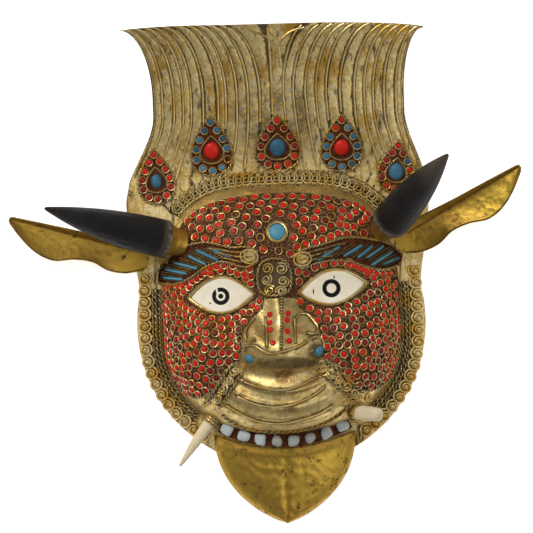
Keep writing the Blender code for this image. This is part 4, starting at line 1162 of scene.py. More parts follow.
def oval(x, y, half_width, half_height, turn=0.0, count=40, squareness=2.0):
    """A superellipse about a point, turned by some degrees."""
    angle = (np.arange(count) + 0.5) / count * 2 * np.pi
    across = half_width * np.sign(np.cos(angle)) * np.abs(np.cos(angle)) ** (2 / squareness)
    along = half_height * np.sign(np.sin(angle)) * np.abs(np.sin(angle)) ** (2 / squareness)
    turn = math.radians(turn)
    return np.column_stack([x + across * math.cos(turn) - along * math.sin(turn),
                            y + across * math.sin(turn) + along * math.cos(turn)])


def brow_outline(brow):
    """The closed outline of a brow, from its two smooth edges."""
    return np.vstack([smooth_path(brow["upper"]), smooth_path(brow["lower"])[::-1]])


def in_bead_zone(flat, clear=0.0):
    """True where beads may lie: inside the zone, and off the brows, eyes, plaque, stone and horns."""
    rim = BEAD_RIM - clear / 2 / FACE_HALF_WIDTH
    free = inside_polygon(flat, BEAD_ZONE) & (face_radius(flat[:, 0], flat[:, 1]) < rim)
    for side in (-1, 1):
        free &= ~inside_polygon(flat, brow_outline(BROWS[side]))
        free &= ~inside_polygon(flat, almond(EYES[side], grow=1.14 + clear / 0.02))
    free &= ~inside_polygon(flat, oval(PLAQUE["x"], PLAQUE["y"], PLAQUE["width"] / 2 + 0.001 + clear,
                                       PLAQUE["height"] / 2 + 0.001 + clear, squareness=2.6))
    free &= np.hypot(flat[:, 0] - FOREHEAD_STONE["x"],
                     flat[:, 1] - FOREHEAD_STONE["y"]) > STONE_CLEAR + clear
    for foot in HORN_FEET:
        free &= np.hypot(flat[:, 0] - foot[0], flat[:, 1] - foot[1]) > HORN_CLEAR + clear
    return free


def bead_ground(flat):
    """1 where lac covers the sheet, which is wherever beads lie and a little beyond."""
    return in_bead_zone(flat, -0.0015).astype(float)


RING_SHARE = 0.46
LOST_SHARE = 0.03
BEAD_TILT = 0.07
BEAD_HEIGHTS = (0.0011, 0.0017)
BEAD_SIDES = 10


def scatter(zone, pitch, random, rounds=30, samples=150000):
    """Evenly spread places in a zone: centres move to the mean of the samples nearest to them.

    Samples fall at random over the face and are kept in proportion to the skin's true area. The count
    is the area divided by 0.866 pitch^2, as in a honeycomb.
    """
    low, high = zone.min(axis=0), zone.max(axis=0)
    flat = low + random.random((samples, 2)) * (high - low)
    flat = flat[in_bead_zone(flat, pitch * 0.35)]
    slope = 1 / skin_normal(flat[:, 0], flat[:, 1])[:, 2]
    local = bead_pitch(flat, pitch)
    area = np.prod(high - low) / samples * np.sum(slope / local ** 2)
    keep = random.random(len(flat)) < slope / local ** 4 / np.max(slope / local ** 4)
    flat = flat[keep]
    points = on_skin(flat).astype(np.float32) * 100
    count = int(area / 0.866)
    centres = points[random.choice(len(points), count, replace=False)]
    for _ in range(rounds):
        gap = (points ** 2).sum(1)[:, None] - 2 * points @ centres.T + (centres ** 2).sum(1)[None]
        nearest = gap.argmin(axis=1)
        number = np.maximum(np.bincount(nearest, minlength=count), 1)
        means = [np.bincount(nearest, points[:, axis], count) / number for axis in range(3)]
        centres = np.column_stack(means).astype(np.float32)
    gap = (points ** 2).sum(1)[:, None] - 2 * points @ centres.T + (centres ** 2).sum(1)[None]
    return flat[gap.argmin(axis=0)]


def bead_pitch(flat, pitch):
    """Beads stand wider apart on the forehead and closer around the eyes and nose."""
    x, y = flat[:, 0], flat[:, 1]
    forehead = smoothstep((y - 0.018) / 0.010)
    eyes = np.exp(-((np.abs(x) - 0.036) / 0.030) ** 2 - ((y + 0.009) / 0.017) ** 2)
    return pitch * (1.0 + 0.07 * forehead - 0.12 * eyes)


class MASK_OT_beads(bpy.types.Operator):
    """Spreads coral beads over the forehead, the lids and the cheeks, each in a ring of wire"""

    bl_idname = "mask.beads"
    bl_label = "Coral beads"

    def execute(self, context):
        sizes = context.scene.mask_sizes
        random = np.random.default_rng(41)
        flat = scatter(BEAD_ZONE, sizes.bead_pitch, random)
        normals = skin_normal(flat[:, 0], flat[:, 1])
        reach = bead_pitch(flat, 1.0)
        rings = Shape().add(*rings_at(on_skin(flat, 0.0007), normals,
                                      reach * (sizes.bead_pitch * RING_SHARE - sizes.bead_wire),
                                      sizes.bead_wire))
        make_piece("bead_rings", rings, finish_of("bright wire"))
        set_in = random.random(len(flat)) > LOST_SHARE
        flat, normals, reach = flat[set_in], normals[set_in], reach[set_in]
        normals = unit(normals + random.normal(0, BEAD_TILT, normals.shape))
        radii = sizes.bead_radius * reach * random.uniform(0.90, 1.07, len(flat))
        heights = random.uniform(*BEAD_HEIGHTS, len(flat))
        tones = np.clip(random.beta(0.9, 1.8, len(flat)), 0, 1)
        turns = random.uniform(0, 6, len(flat))
        points, faces = domes(on_skin(flat, 0.0003), normals, radii, heights, BEAD_SIDES, turns)
        beads = Shape().add(points, faces, np.repeat(tones, len(points) // len(flat)))
        make_piece("coral_beads", beads, finish_of("coral"))
        return {"FINISHED"}


# Horns, tusks and their cups

HORN_RADIUS = 0.0135
HORN_LENGTH = 0.0925
HORN_TIP = 0.0010
HORN_TAPER = 2.4
HORN_SWELL = 1.05
HORNS = {
    "left": dict(base=(-0.0790, 0.0310, 0.0235), turn=165.7, lean=22.5, bow=-0.003, worn=0.25),
    "right": dict(base=(0.0782, 0.0385, 0.0270), turn=48.5, lean=51.0, bow=0.0, worn=0.95),
}
COLLAR_LENGTH = 0.0135
COLLAR_FLARE = (0.66, 0.70, 0.78, 0.93)
TUSK_TAPER = 1.9
TUSKS = {"left": dict(base=(-0.0530, -0.0990, 0.0115), turn=232.0, lean=7.0, bow=0.001, length=0.0365,
                      radius=0.0043, tip=0.0010, worn=0.3, squareness=2.0),
         "right": dict(base=(0.0530, -0.0945, 0.0250), turn=-4.0, lean=58.0, bow=0.0, length=0.025,
                       radius=0.0054, tip=0.0046, worn=0.2, squareness=3.0),}
SEAT = 0.0025
SOCKET_WALL = 0.0012
SOCKET_ROPE = dict(radius=0.0009, pitch=0.0028)
SOCKET_WINDINGS = (-0.0006, -0.0028, -0.0050)


def heading_of(shape):
    """Unit vector at this turn about Z from +X, leaning out of the face, both in degrees."""
    turn = math.radians(shape["turn"])
    lean = math.radians(shape["lean"])
    return np.array([math.cos(turn) * math.cos(lean), math.sin(turn) * math.cos(lean), math.sin(lean)])


def ring_about(along, count):
    """Unit vectors right round a heading and square to it."""
    across = unit(np.cross(along, (0.0, 0.0, 1.0)))
    upward = np.cross(across, along)
    angle = full_turn(count)[:, None]
    return np.cos(angle) * across + np.sin(angle) * upward


def turned(shape, profile, sides):
    """A closed body turned about the shape's heading: the profile gives (radius, reach along it)."""
    along = heading_of(shape)
    profile = np.array(profile)
    points = (np.array(shape["base"]) + profile[:, 1][:, None, None] * along
              + profile[:, 0][:, None, None] * ring_about(along, sides)[None])
    return points.reshape(-1, 3), body_faces(len(profile), sides)


def spike(shape, start, length, radius, tip, taper, swell, sides, rows, ripple, squareness=2.0):
    """A horn or tusk: it tapers as (1 - s^taper)^swell, bows by s^2, and fine ripples run along it."""
    along = heading_of(shape)
    sideways = unit(np.cross((0.0, 0.0, 1.0), along))
    share = np.linspace(0, 1, rows)[:, None]
    centre = (np.array(shape["base"]) + along * (start + (length - start) * share)
              + sideways * shape["bow"] * share ** 2)
    size = tip + (radius - tip) * (1 - share ** taper) ** swell
    to_tip = (1 - share) * length
    size = size * np.sqrt(np.clip(1 - np.clip(1 - to_tip / np.maximum(tip, 0.0016), 0, 1) ** 2, 0.02,
                                  1.0))
    angle = full_turn(sides)[None, :]
    waves = np.sin(angle * 9 + 2 * np.sin(share * 5)) * 0.5 + np.sin(angle * 17 + share * 3 + 1.0) * 0.5
    square = (np.abs(np.cos(angle)) ** squareness
              + np.abs(np.sin(angle)) ** squareness) ** (-1 / squareness)
    return *tube(centre, size * square * (1 - ripple + ripple * waves), sides), np.repeat(share, sides)


class MASK_OT_horns(bpy.types.Operator):
    """Makes the two black horns and the gilt collars that spread from the face to their feet"""

    bl_idname = "mask.horns"
    bl_label = "Horns and collars"

    def execute(self, context):
        for side, shape in HORNS.items():
            points, faces, share = spike(shape, 0.0, HORN_LENGTH, HORN_RADIUS, HORN_TIP, HORN_TAPER,
                                         HORN_SWELL, 56, 110, 0.012)
            wear = shape["worn"] * smoothstep((share - 0.55) / 0.4) + smoothstep((0.09 - share) / 0.05)
            make_piece(f"horn_{side}", Shape().add(points, faces, wear), finish_of(f"horn {side}"),
                       (f"horn_{side}",), 70)
            run = np.linspace(0, 1, 24)
            profile = np.column_stack([HORN_RADIUS * through(run, COLLAR_FLARE),
                                       -COLLAR_LENGTH + (COLLAR_LENGTH - GAP) * run])
            make_piece(f"horn_collar_{side}", Shape().add(*turned(shape, profile, 64)),
                       finish_of("collar gilding"), (f"horn_collar_{side}",))
        return {"FINISHED"}


class MASK_OT_tusks(bpy.types.Operator):
    """Makes the two bone tusks in their wire-wound sockets: a thin one that hangs, and a blunt one"""

    bl_idname = "mask.tusks"
    bl_label = "Tusks"

    def execute(self, context):
        for side, shape in TUSKS.items():
            radius = shape["radius"]
            points, faces, share = spike(shape, GAP - SEAT, shape["length"], radius, shape["tip"],
                                         TUSK_TAPER, 1.0, 32, 70, 0.02, shape["squareness"])
            wear = 0.22 + shape["worn"] * smoothstep((share - 0.7) / 0.3)
            make_piece(f"tusk_{side}", Shape().add(points, faces, wear), finish_of("tusk bone"),
                       (f"tusk_{side}",), 60)
            inner = radius + GAP
            outer = inner + SOCKET_WALL
            profile = [(outer * 0.8, -0.0070), (outer * 0.97, -0.0035), (outer, -0.0004),
                       (outer * 0.96, 0.0), (inner, 0.0), (inner, -SEAT)]
            socket = Shape().add(*turned(shape, profile, 32))
            along = heading_of(shape)
            for reach in SOCKET_WINDINGS:
                loop = np.array(shape["base"]) + along * reach + outer * ring_about(along, 60)
                socket.add(*rope(closed_line(loop), **SOCKET_ROPE))
            make_piece(f"tusk_socket_{side}", socket, finish_of("bright wire"),
                       (f"tusk_socket_{side}",))
        return {"FINISHED"}


# Ears and chin

EAR_LENGTH = 0.1015
EAR_WIDTHS = (0.010, 0.0165, 0.0180, 0.0150, 0.0165, 0.0208, 0.0190, 0.0120, 0.0016)
EAR_FLANGES = (0.0070, 0.0065, 0.0055, 0.0045, 0.0036, 0.0030, 0.0024, 0.0018, 0.0010)
EAR_TAB = 0.008
EAR_HOLLOW = 0.004
EAR_FLANGE_RISE = 0.006
EAR_BEADING = dict(radius=0.00075, pitch=0.0015)
EAR_BEADED_AT = (-0.97, 0.0, 0.95)
EARS = {
    "left": dict(root=(-0.0905, 0.0205), turn=163.6, rise=0.020, side=-1),
    "right": dict(root=(0.0815, 0.0250), turn=29.2, rise=0.024, side=1),
}
CHIN_HALF_WIDTH = 0.0495
CHIN_TOP = -0.1180
CHIN_TIP = -0.1716
CHIN_ARCH = 0.0105
CHIN_LIP_HEIGHT = 0.0205
CHIN_DIP_HEIGHT = 0.015
CHIN_TIP_HEIGHT = 0.006
CHIN_CREASE = 0.0012
CHIN_END = 0.984
CHIN_DENTS = 0.0003


def through(at, values):
    """A smooth run through evenly spaced values, with the slope at each from its neighbours."""
    values = np.asarray(values, float)
    place = np.clip(at, 0, 1) * (len(values) - 1)
    low = np.clip(place.astype(int), 0, len(values) - 2)
    slopes = np.gradient(values)
    t = place - low
    first, second = values[low], values[low + 1]
    return (first * (1 + 2 * t) * (1 - t) ** 2 + second * t ** 2 * (3 - 2 * t)
            + t * (1 - t) * ((1 - t) * slopes[low] - t * slopes[low + 1]))


def ear_surface(ear, out, across, lift=0.0):
    """A leaf of sheet: hollow below its fold, where across < 0, and a flange folded up above it."""
    turn = math.radians(ear["turn"])
    heading = np.array([math.cos(turn), math.sin(turn)])
    upward = np.array([-heading[1], heading[0]]) * ear["side"]
    reach = np.where(across < 0, across * through(out, EAR_WIDTHS), across * through(out, EAR_FLANGES))
    flat = np.array(ear["root"]) + (out * EAR_LENGTH)[..., None] * heading + reach[..., None] * upward
    past_tab = out - EAR_TAB / EAR_LENGTH
    free = smoothstep(past_tab / 0.35)
    height = (SHEET + GAP + ear["rise"] * np.clip(past_tab, 0, 1) ** 1.3
              + EAR_HOLLOW * free * across ** 2 * (across < 0)
              + EAR_FLANGE_RISE * free * across * (across > 0) * np.sin(np.pi * (0.15 + 0.8 * out)))
    return np.concatenate([flat, (height + lift)[..., None]], axis=-1)


class MASK_OT_ears(bpy.types.Operator):
    """Shapes the two long ears as leaves of sheet with a folded flange and a beaded edge"""

    bl_idname = "mask.ears"
    bl_label = "Ears"

    def execute(self, context):
        for side, ear in EARS.items():
            out = np.linspace(0, 0.998, 120)[:, None]
            across = np.concatenate([np.linspace(-1, 0, 22), np.linspace(0, 1, 9)[1:]])[None, :]
            out, across = np.broadcast_arrays(out, across)
            back = ear_surface(ear, out, across)
            front = ear_surface(ear, out, across, SHEET)
            points, faces = close_between(front.reshape(-1, 3), back.reshape(-1, 3),
                                          grid_faces(*out.shape))
            leaf = Shape().add(points, faces)
            for edge in EAR_BEADED_AT:
                run = np.linspace(0.02 if edge else 0.10, 0.985, 130)
                line = ear_surface(ear, run, np.full_like(run, edge),
                                   SHEET + (0.0001 if edge else 0.0003))
                leaf.add(*beaded(line, **EAR_BEADING))
            make_piece(f"ear_{side}", leaf, finish_of("ear gilding"), (f"ear_{side}",),
                       50)
        return {"FINISHED"}


class MASK_OT_chin(bpy.types.Operator):
    """Shapes the chin as a bowed tongue of sheet with a rolled lip and a crease down its middle"""

    bl_idname = "mask.chin"
    bl_label = "Chin plate"

    def execute(self, context):
        across = np.sin(np.linspace(-math.pi / 2, math.pi / 2, 111))[None, :]
        down = (np.linspace(0, 1, 100) ** 1.25)[:, None]
        half_width = CHIN_HALF_WIDTH * (1 - (down * 0.998) ** 2.2) ** 0.75
        top = CHIN_TOP + CHIN_ARCH * across ** 2
        x = half_width * across
        y = top + (CHIN_TIP - top) * down * CHIN_END
        lip = (CHIN_LIP_HEIGHT - CHIN_DIP_HEIGHT) * np.exp(-(down / 0.07) ** 2)
        swell = CHIN_DIP_HEIGHT + (CHIN_TIP_HEIGHT - CHIN_DIP_HEIGHT) * down ** 1.5 + lip
        crease = CHIN_CREASE * smoothstep(down / 0.25) * np.exp(-(across / 0.06) ** 2)
        beaten = CHIN_DENTS * np.sin(x * 410 + 3 * np.sin(y * 190)) * np.sin(y * 370
                                                                             + 2 * np.sin(x * 260))
        height = (swell - crease + beaten * smoothstep(down / 0.2)) * (1 - across ** 2) ** 0.7
        level = SHEET + GAP
        front = np.stack([x, y, np.maximum(level + height, level + SHEET / 2)], axis=-1)
        normal = unit(np.cross(np.gradient(front, axis=1), np.gradient(front, axis=0)))
        normal *= np.sign(normal[..., 2:3] + 1e-9)
        back = front - np.minimum(SHEET, 0.4 * half_width)[..., None] * normal
        back[..., 1] = np.where(down > 0.5, np.maximum(back[..., 1], front[..., 1]), back[..., 1])
        back[..., 2] = np.clip(back[..., 2], level, front[..., 2] - SHEET / 4)
        points, faces = close_between(front.reshape(-1, 3), back.reshape(-1, 3), grid_faces(*x.shape))
        make_piece("chin", Shape().add(points, faces), finish_of("chin gilding"),
                   ("chin_plate",), 50)
        return {"FINISHED"}


# Stage

VIEW_WIDTH = 0.3731
VIEW_TURN = math.radians(1.863)
VIEW_MIDDLE = (-0.00914, 0.00975)
CAMERA_HEIGHT = 3.0
SENSOR = 36.0
SHARP_HEIGHT = 0.015
FLOOR_REACH = 1.6
FLOOR_DEPTH = 0.0002
SKY_STRENGTH = 0.15
LAMPS = (
    ("key light", (-0.95, 1.15, 1.50), 0.80, 28.0),
    ("top light", (0.10, 0.20, 3.60), 1.60, 9.0),
    ("right light", (1.30, -0.50, 1.60), 1.20, 9.0),
)


def add_light(name, place, size, power):
    """A soft square light that looks at the origin."""
    light = bpy.data.lights.new(name, "AREA")
    light.shape = "SQUARE"
    light.size = size
    light.energy = power
    lamp = bpy.data.objects.new(name, light)
    lamp.location = place
    lamp.rotation_euler = (-Vector(place)).to_track_quat("-Z", "Y").to_euler()
    bpy.context.scene.collection.objects.link(lamp)
    return lamp


class MASK_OT_stage(bpy.types.Operator):
    """Sets up the floor, the lights, the sky and a camera that looks straight down on the lying mask"""

    bl_idname = "mask.stage"
    bl_label = "Stage"

    def execute(self, context):
        scene = context.scene
        reach = FLOOR_REACH
        mesh = bpy.data.meshes.new("floor")
        corners = [(-reach, -reach), (reach, -reach), (reach, reach), (-reach, reach)]
        mesh.from_pydata([(x, y, -FLOOR_DEPTH) for x, y in corners], [], [(0, 1, 2, 3)])
        mesh.materials.append(finish_of("floor"))
        floor = bpy.data.objects.new("floor", mesh)
        scene.collection.objects.link(floor)
        lamps = [add_light(*lamp) for lamp in LAMPS]
        world = bpy.data.worlds.new("sky")
        world.use_nodes = True
        background = world.node_tree.nodes["Background"]
        background.inputs["Color"].default_value = (1.0, 1.0, 1.0, 1.0)
        background.inputs["Strength"].default_value = SKY_STRENGTH
        scene.world = world
        lens = bpy.data.cameras.new("camera")
        lens.sensor_width = SENSOR
        lens.lens = SENSOR * (CAMERA_HEIGHT - SHARP_HEIGHT) / VIEW_WIDTH
        camera = bpy.data.objects.new("camera", lens)
        camera.location = (VIEW_MIDDLE[0] + SHIFT[0], VIEW_MIDDLE[1] + SHIFT[1], CAMERA_HEIGHT)
        camera.rotation_euler = (0.0, 0.0, -VIEW_TURN)
        scene.collection.objects.link(camera)
        scene.camera = camera
        scene.view_settings.view_transform = "Standard"
        return {"FINISHED"}


# Bands of wire work around the face

BAND_FROM = 44.0
BORDER_FROM = 9.2
BORDER_TO = -46.0
BAND_BED = 0.0006
BORDER_BED = 0.0007
BAND_ROPES = ((0.0100, 0.0013), (0.0014, 0.0009))
BAND_WIDE = 0.0098
BAND_CIRCLES = dict(margin=0.0057, pitch=0.0053, radius=0.0038, curl=0.0026)
BORDER_WIDE = 0.0130
BORDER_SCROLLS = dict(margin=0.0122, pitch=0.0080, radius=0.0048, boss=0.0036, height=0.0024)
BORDER_ROPES = ((0.0013, 0.0010), (0.0037, 0.0014), (0.0061, 0.0010))
SIDES = (("left", -1), ("right", 1))


def beside_rim(start, end, margin, step=0.0008, side=1):
    """A path beside the face's rim, this far outside it, between two angles in degrees."""
    angle = np.radians(np.linspace(start, end, 400))
    return even_steps(face_outline(angle, margin) * (side, 1), step)


def beyond_rim(x, y):
    """The sheet's height where the face's steep rim would mislead: the sheet's alone."""
    return SHEET + crown_height(x, y)


def laid(flat, lift, level=beyond_rim):
    """A flat path at this height above a ground."""
    return np.column_stack([flat, level(flat[:, 0], flat[:, 1]) + lift])


def between(first, second, height, sink=0.0004, rows=7, level=skin):
    """A strip between two drawn edges; height(share) above its ground, share from 0 to 1 across."""
    count = 90
    first, second = (even_steps(edge,
                                np.linalg.norm(np.diff(edge, axis=0), axis=1).sum()
                                / (count - 0.5))[:count] for edge in (first, second))
    share = np.linspace(0, 1, rows)
    flat = first[:, None, :] + share[None, :, None] * (second - first)[:, None, :]
    ground = level(flat[..., 0], flat[..., 1])
    top = np.concatenate([flat, (ground + height(share)[None, :])[..., None]], axis=-1).reshape(-1, 3)
    low = np.concatenate([flat, (ground - sink)[..., None]], axis=-1).reshape(-1, 3)
    return close_between(top, low, grid_faces(count, rows))


class MASK_OT_forehead_band(bpy.types.Operator):
    """Lays the band over the forehead: a twisted wire above and below, circles with scrolls between"""

    bl_idname = "mask.forehead_band"
    bl_label = "Forehead band"

    def execute(self, context):
        sizes = context.scene.mask_sizes
        bed = Shape().add(*between(beside_rim(180 - BAND_FROM, BAND_FROM, BAND_CLEAR),
                         beside_rim(180 - BAND_FROM, BAND_FROM, BAND_WIDE),
                         even(BAND_BED), 0.0, 4, beyond_rim), 0.7)
        make_piece("forehead_bed", bed, finish_of("sheet gilding"), ("forehead_band",))
        band = Shape()
        for margin, radius in BAND_ROPES:
            line = beside_rim(180 - BAND_FROM, BAND_FROM, margin)
            band.add(*rope(laid(line, BAND_BED + radius * 0.8), radius, radius * 3.2))
        wire = sizes.scroll_wire
        middles = beside_rim(180 - BAND_FROM, BAND_FROM, BAND_CIRCLES["margin"], BAND_CIRCLES["pitch"])
        for x, y in middles[1:-1]:
            mirrored = 1 if x > 0 else -1
            ring = circle(x, y, BAND_CIRCLES["radius"], count=30)
            lean = 0.0009 * (0.5 + 0.5 * mirrored * np.cos(np.linspace(0, 2 * np.pi, 30)))
            band.add(*tube(laid(ring, BAND_BED + wire + lean), wire * 1.2))
            curl = scroll(x, y, BAND_CIRCLES["curl"], 100, -mirrored * 420, 0.6, 34)
            band.add(*tube(laid(curl, BAND_BED + wire), wire * 0.85))
        make_piece("forehead_scrolls", band, finish_of("bright wire"))
        return {"FINISHED"}


class MASK_OT_borders(bpy.types.Operator):
    """Lays a braid beside each cheek and a row of C-shaped scrolls outside it, down to the mouth"""

    bl_idname = "mask.borders"
    bl_label = "Cheek borders"

    def execute(self, context):
        sizes = context.scene.mask_sizes
        for name, side in SIDES:
            bed = Shape().add(*between(beside_rim(BORDER_FROM, BORDER_TO, BAND_CLEAR, side=side),
                             beside_rim(BORDER_FROM, BORDER_TO, BORDER_WIDE, side=side),
                             even(BORDER_BED), 0.0, 4, beyond_rim), 0.8)
            make_piece(f"border_bed_{name}", bed, finish_of("sheet gilding"),
                       (f"border_{name}",))
            border = Shape()
            for margin, radius in BORDER_ROPES:
                line = beside_rim(BORDER_FROM, BORDER_TO, margin, side=side)
                border.add(*rope(laid(line, BORDER_BED + radius * 0.8), radius, radius * 3.2))
            wire = sizes.scroll_wire
            middles = beside_rim(BORDER_FROM + 3, BORDER_TO - 7, BORDER_SCROLLS["margin"],
                                 BORDER_SCROLLS["pitch"], side)
            heading = np.gradient(middles, axis=0)
            centres = laid(middles, 0.0)
            points, faces = domes(centres, np.tile((0.0, 0.0, 1.0), (len(middles), 1)),
                                  BORDER_SCROLLS["boss"], BORDER_SCROLLS["height"], 16,
                                  profile=((1.0, -0.2), (0.97, 0.35), (0.84, 0.68), (0.6, 0.9),
                                           (0.3, 0.99)))
            border.add(points, faces, 0.1)
            for (x, y), (run_x, run_y) in zip(middles, heading):
                turn = math.degrees(math.atan2(run_y, run_x))
                outer = scroll(x, y, BORDER_SCROLLS["radius"], turn - side * 150, side * 430, 0.55, 44)
                lift = 0.0008 + wire + 0.0016 * np.linspace(0, 1, 44) ** 0.7
                border.add(*tube(laid(outer, lift), wire * 1.8))
            make_piece(f"border_wires_{name}", border, finish_of("bright wire"))
        return {"FINISHED"}


# Brows and eyes

BROW_BARS = {-1: (((-47.9, 23.3), (-33.6, 17.0), 0), ((-58.4, 23.0), (-42.4, 14.9), 0),
                  ((-63.8, 19.1), (-51.1, 12.3), 1), ((-74.5, 14.8), (-57.1, 9.6), 1),
                  ((-80.9, 10.3), (-64.7, 6.3), 1), ((-83.9, 4.7), (-67.7, 2.4), 1)),
             1: (((26.1, 12.7), (42.7, 22.0), 0), ((44.6, 15.0), (58.4, 22.7), 0),
                 ((54.4, 13.6), (65.8, 21.9), 0), ((60.4, 13.4), (73.4, 21.6), 1),
                 ((63.7, 8.0), (80.3, 17.9), 1), ((71.7, 8.9), (84.8, 13.1), 1)),}


BAR_HALF_WIDTH = 0.0010
BAR_HEIGHT = 0.0023
BROW_ROPE = dict(radius=0.0010, pitch=0.0030)
BROW_CURLS = {-1: (-0.0208, 0.0171), 1: (0.0159, 0.0142)}


def bar(start, end, half_width, height):
    """A long stone between two places, rounded across and towards its ends."""
    start, end = np.array(start), np.array(end)
    middle = start + np.linspace(0, 1, 14)[:, None] * (end - start)
    share = np.linspace(-1, 1, 14)
    width = half_width * (1 - share ** 8) ** 0.5 + 0.0002
    return strip(middle, width, lambda across: height * (1 - 0.6 * across ** 2), 0.0)


class MASK_OT_brows(bpy.types.Operator):
    """Sets slanting bars of stone in lac between the wires of each brow"""

    bl_idname = "mask.brows"
    bl_label = "Brows"

    def execute(self, context):
        for name, side in SIDES:
            brow = BROWS[side]
            upper, lower = smooth_path(brow["upper"]), smooth_path(brow["lower"])
            bed = Shape().add(*between(lower, upper,
                                       lambda share: 0.0008 + 0.0006 * np.sin(np.pi * share)))
            make_piece(f"brow_bed_{name}", bed, finish_of("lac"), (f"brow_{name}",))
            stones = {0: Shape(), 1: Shape()}
            wires = Shape()
            for first, second in zip(BROW_BARS[side], BROW_BARS[side][1:]):
                ends = (drawn(*first[:2]) + drawn(*second[:2])) / 2
                for share in (-0.0008, 0.0008):
                    line = even_steps(ends + share * sideways_of(ends), 0.001)
                    wires.add(*tube(on_skin(line, 0.0016), 0.0005), 0.45)
            for start, end, kind in BROW_BARS[side]:
                ends = drawn(start, end)
                stones[kind].add(*bar(ends[0], ends[1], BAR_HALF_WIDTH, BAR_HEIGHT),
                                 0.0 if kind else 0.35)
                for share in (-0.0015, 0.0015):
                    line = even_steps(ends + share * sideways_of(ends), 0.001)
                    wires.add(*tube(on_skin(line, 0.0014), 0.0004, 5), 0.6)
            count = min(len(upper), len(lower))
            for share in (0.26, 0.5, 0.74):
                line = lower[:count] + share * (upper[:count] - lower[:count])
                line = line[int(count * 0.08):int(count * (0.30 + 0.25 * share))]
                wires.add(*tube(on_skin(line, 0.0016), 0.0008), 0.35)
            for line in (upper, lower):
                wires.add(*rope(on_skin(line, 0.0014), **BROW_ROPE))
            curl_x, curl_y = BROW_CURLS[side]
            loop = oval(curl_x, curl_y, 0.0060, 0.0046, 10 * side, 40)
            wires.add(*domes(on_skin(np.array([[curl_x, curl_y]])),
                             skin_normal(*np.array([[curl_x], [curl_y]])), 0.0048, 0.0018, 20))
            for grow in (1.0, 0.55):
                closed = (curl_x, curl_y) + grow * (closed_line(loop) - (curl_x, curl_y))
                wires.add(*tube(on_skin(closed, 0.0018), 0.0007))
            make_piece(f"brow_wires_{name}", wires, finish_of("bright wire"))
            make_piece(f"brow_blue_{name}", stones[1], finish_of("turquoise"))
            make_piece(f"brow_dark_{name}", stones[0], finish_of("turquoise"))
        return {"FINISHED"}


class MASK_OT_eyes(bpy.types.Operator):
    """Sets the almond eyes of bone in rims of gold wire"""

    bl_idname = "mask.eyes"
    bl_label = "Eyes"

    def execute(self, context):
        rims = Shape()
        for name, side in SIDES:
            eye = EYES[side]
            outline = almond(eye, 60, 0.985)
            centre = (np.array(eye["inner"]) + eye["outer"]) / 2
            ball = Shape().add(*plate(outline, centre, lambda share: 0.0017 + 0.0012 * (1 - share ** 2)
                                      - 0.0006 * smoothstep((share - 0.93) / 0.07), 0.0, 12))
            make_piece(f"eye_{name}", ball, finish_of(f"eye {name}"), (f"eye_{name}",), 60)
            closed = closed_line(almond(eye, 60, 1.03))
            rims.add(*tube(on_skin(even_steps(closed, 0.0009), 0.0016), 0.0006))
            outer = closed_line(almond(eye, 60, 1.10))
            rims.add(*rope(on_skin(outer, 0.0010), 0.0006, 0.0018))
        make_piece("eye_rims", rims, finish_of("bright wire"))
        return {"FINISHED"}


# Nose, muzzle and mouth

NOSE_WIRES = (((0.7, -11.9), (-0.8, -47.2)), ((-10.7, -26.1), (-10.6, -45.5)),
              ((8.8, -27.4), (9.3, -43.7)),
              ((-26.1, -47.7), (-25.6, -45.7), (-19.9, -44.5), (-13.3, -48.1), (-7.9, -50.3),
               (-2.6, -49.8), (6.9, -47.4), (13.7, -45.0), (18.3, -41.8), (23.9, -40.0), (27.8, -42.8),
               (29.0, -48.1)),
              ((-18.6, -26.5), (-23.4, -31.7), (-25.3, -37.0), (-24.4, -40.4), (-20.4, -41.2),
               (-19.0, -39.9)),
              ((9.6, -26.8), (12.9, -24.2), (17.6, -24.3), (22.2, -29.2), (24.7, -33.9), (23.9, -37.2),
               (19.8, -37.8), (17.9, -37.0)),)
NOSE_STONES = ((-7.8, -23.6), (-8.0, -29.2), (-7.8, -34.1), (-6.4, -43.2),
               (4.6, -23.3), (3.8, -27.8), (3.7, -35.6), (4.7, -42.2))
MUZZLE_WIRES = (((-27.1, -69.9), (-17.0, -73.8), (-7.5, -75.8), (-0.8, -76.3), (12.0, -73.3),
                 (23.6, -68.0)),
                ((-32.1, -79.4), (-17.8, -85.6), (-3.8, -87.3), (12.4, -84.4), (23.3, -78.8),
                 (28.1, -74.9)),
                ((-40.0, -85.5), (-28.2, -93.2), (-13.7, -98.3), (-0.2, -99.2), (15.1, -96.4),
                 (25.5, -92.9), (32.8, -88.5)),)
LIP_ROPE = drawn((-43.6, -92.4), (-34.1, -99.7), (-22.3, -103.6), (2.2, -105.8), (20.5, -102.9),
                 (36.1, -96.4), (46.2, -88.3))
LIP_STRIPS = {
    "left": dict(line=((-0.0322, -0.0606), (-0.0400, -0.0725), (-0.0485, -0.0846)), width=0.0048),
    "right": dict(line=((0.0262, -0.0605), (0.0390, -0.0710), (0.0515, -0.0830)), width=0.0048),
}
NOSE_WIRE = 0.0006
NOSE_BEADING = dict(radius=0.0009, pitch=0.0022)
NOSE_STONE = dict(radii=0.0021, heights=0.0014)
PLAQUE_ROPE = dict(radius=0.0010, pitch=0.0032)
PLAQUE_HEIGHT = 0.0011
LIP_WIRE = dict(radius=0.0013, pitch=0.0040)
STRIP_ROPE = dict(radius=0.0011, pitch=0.0034)
CHEEK_ROPE = dict(radius=0.0009, pitch=0.0030)
CURL_PITCH = 0.0066
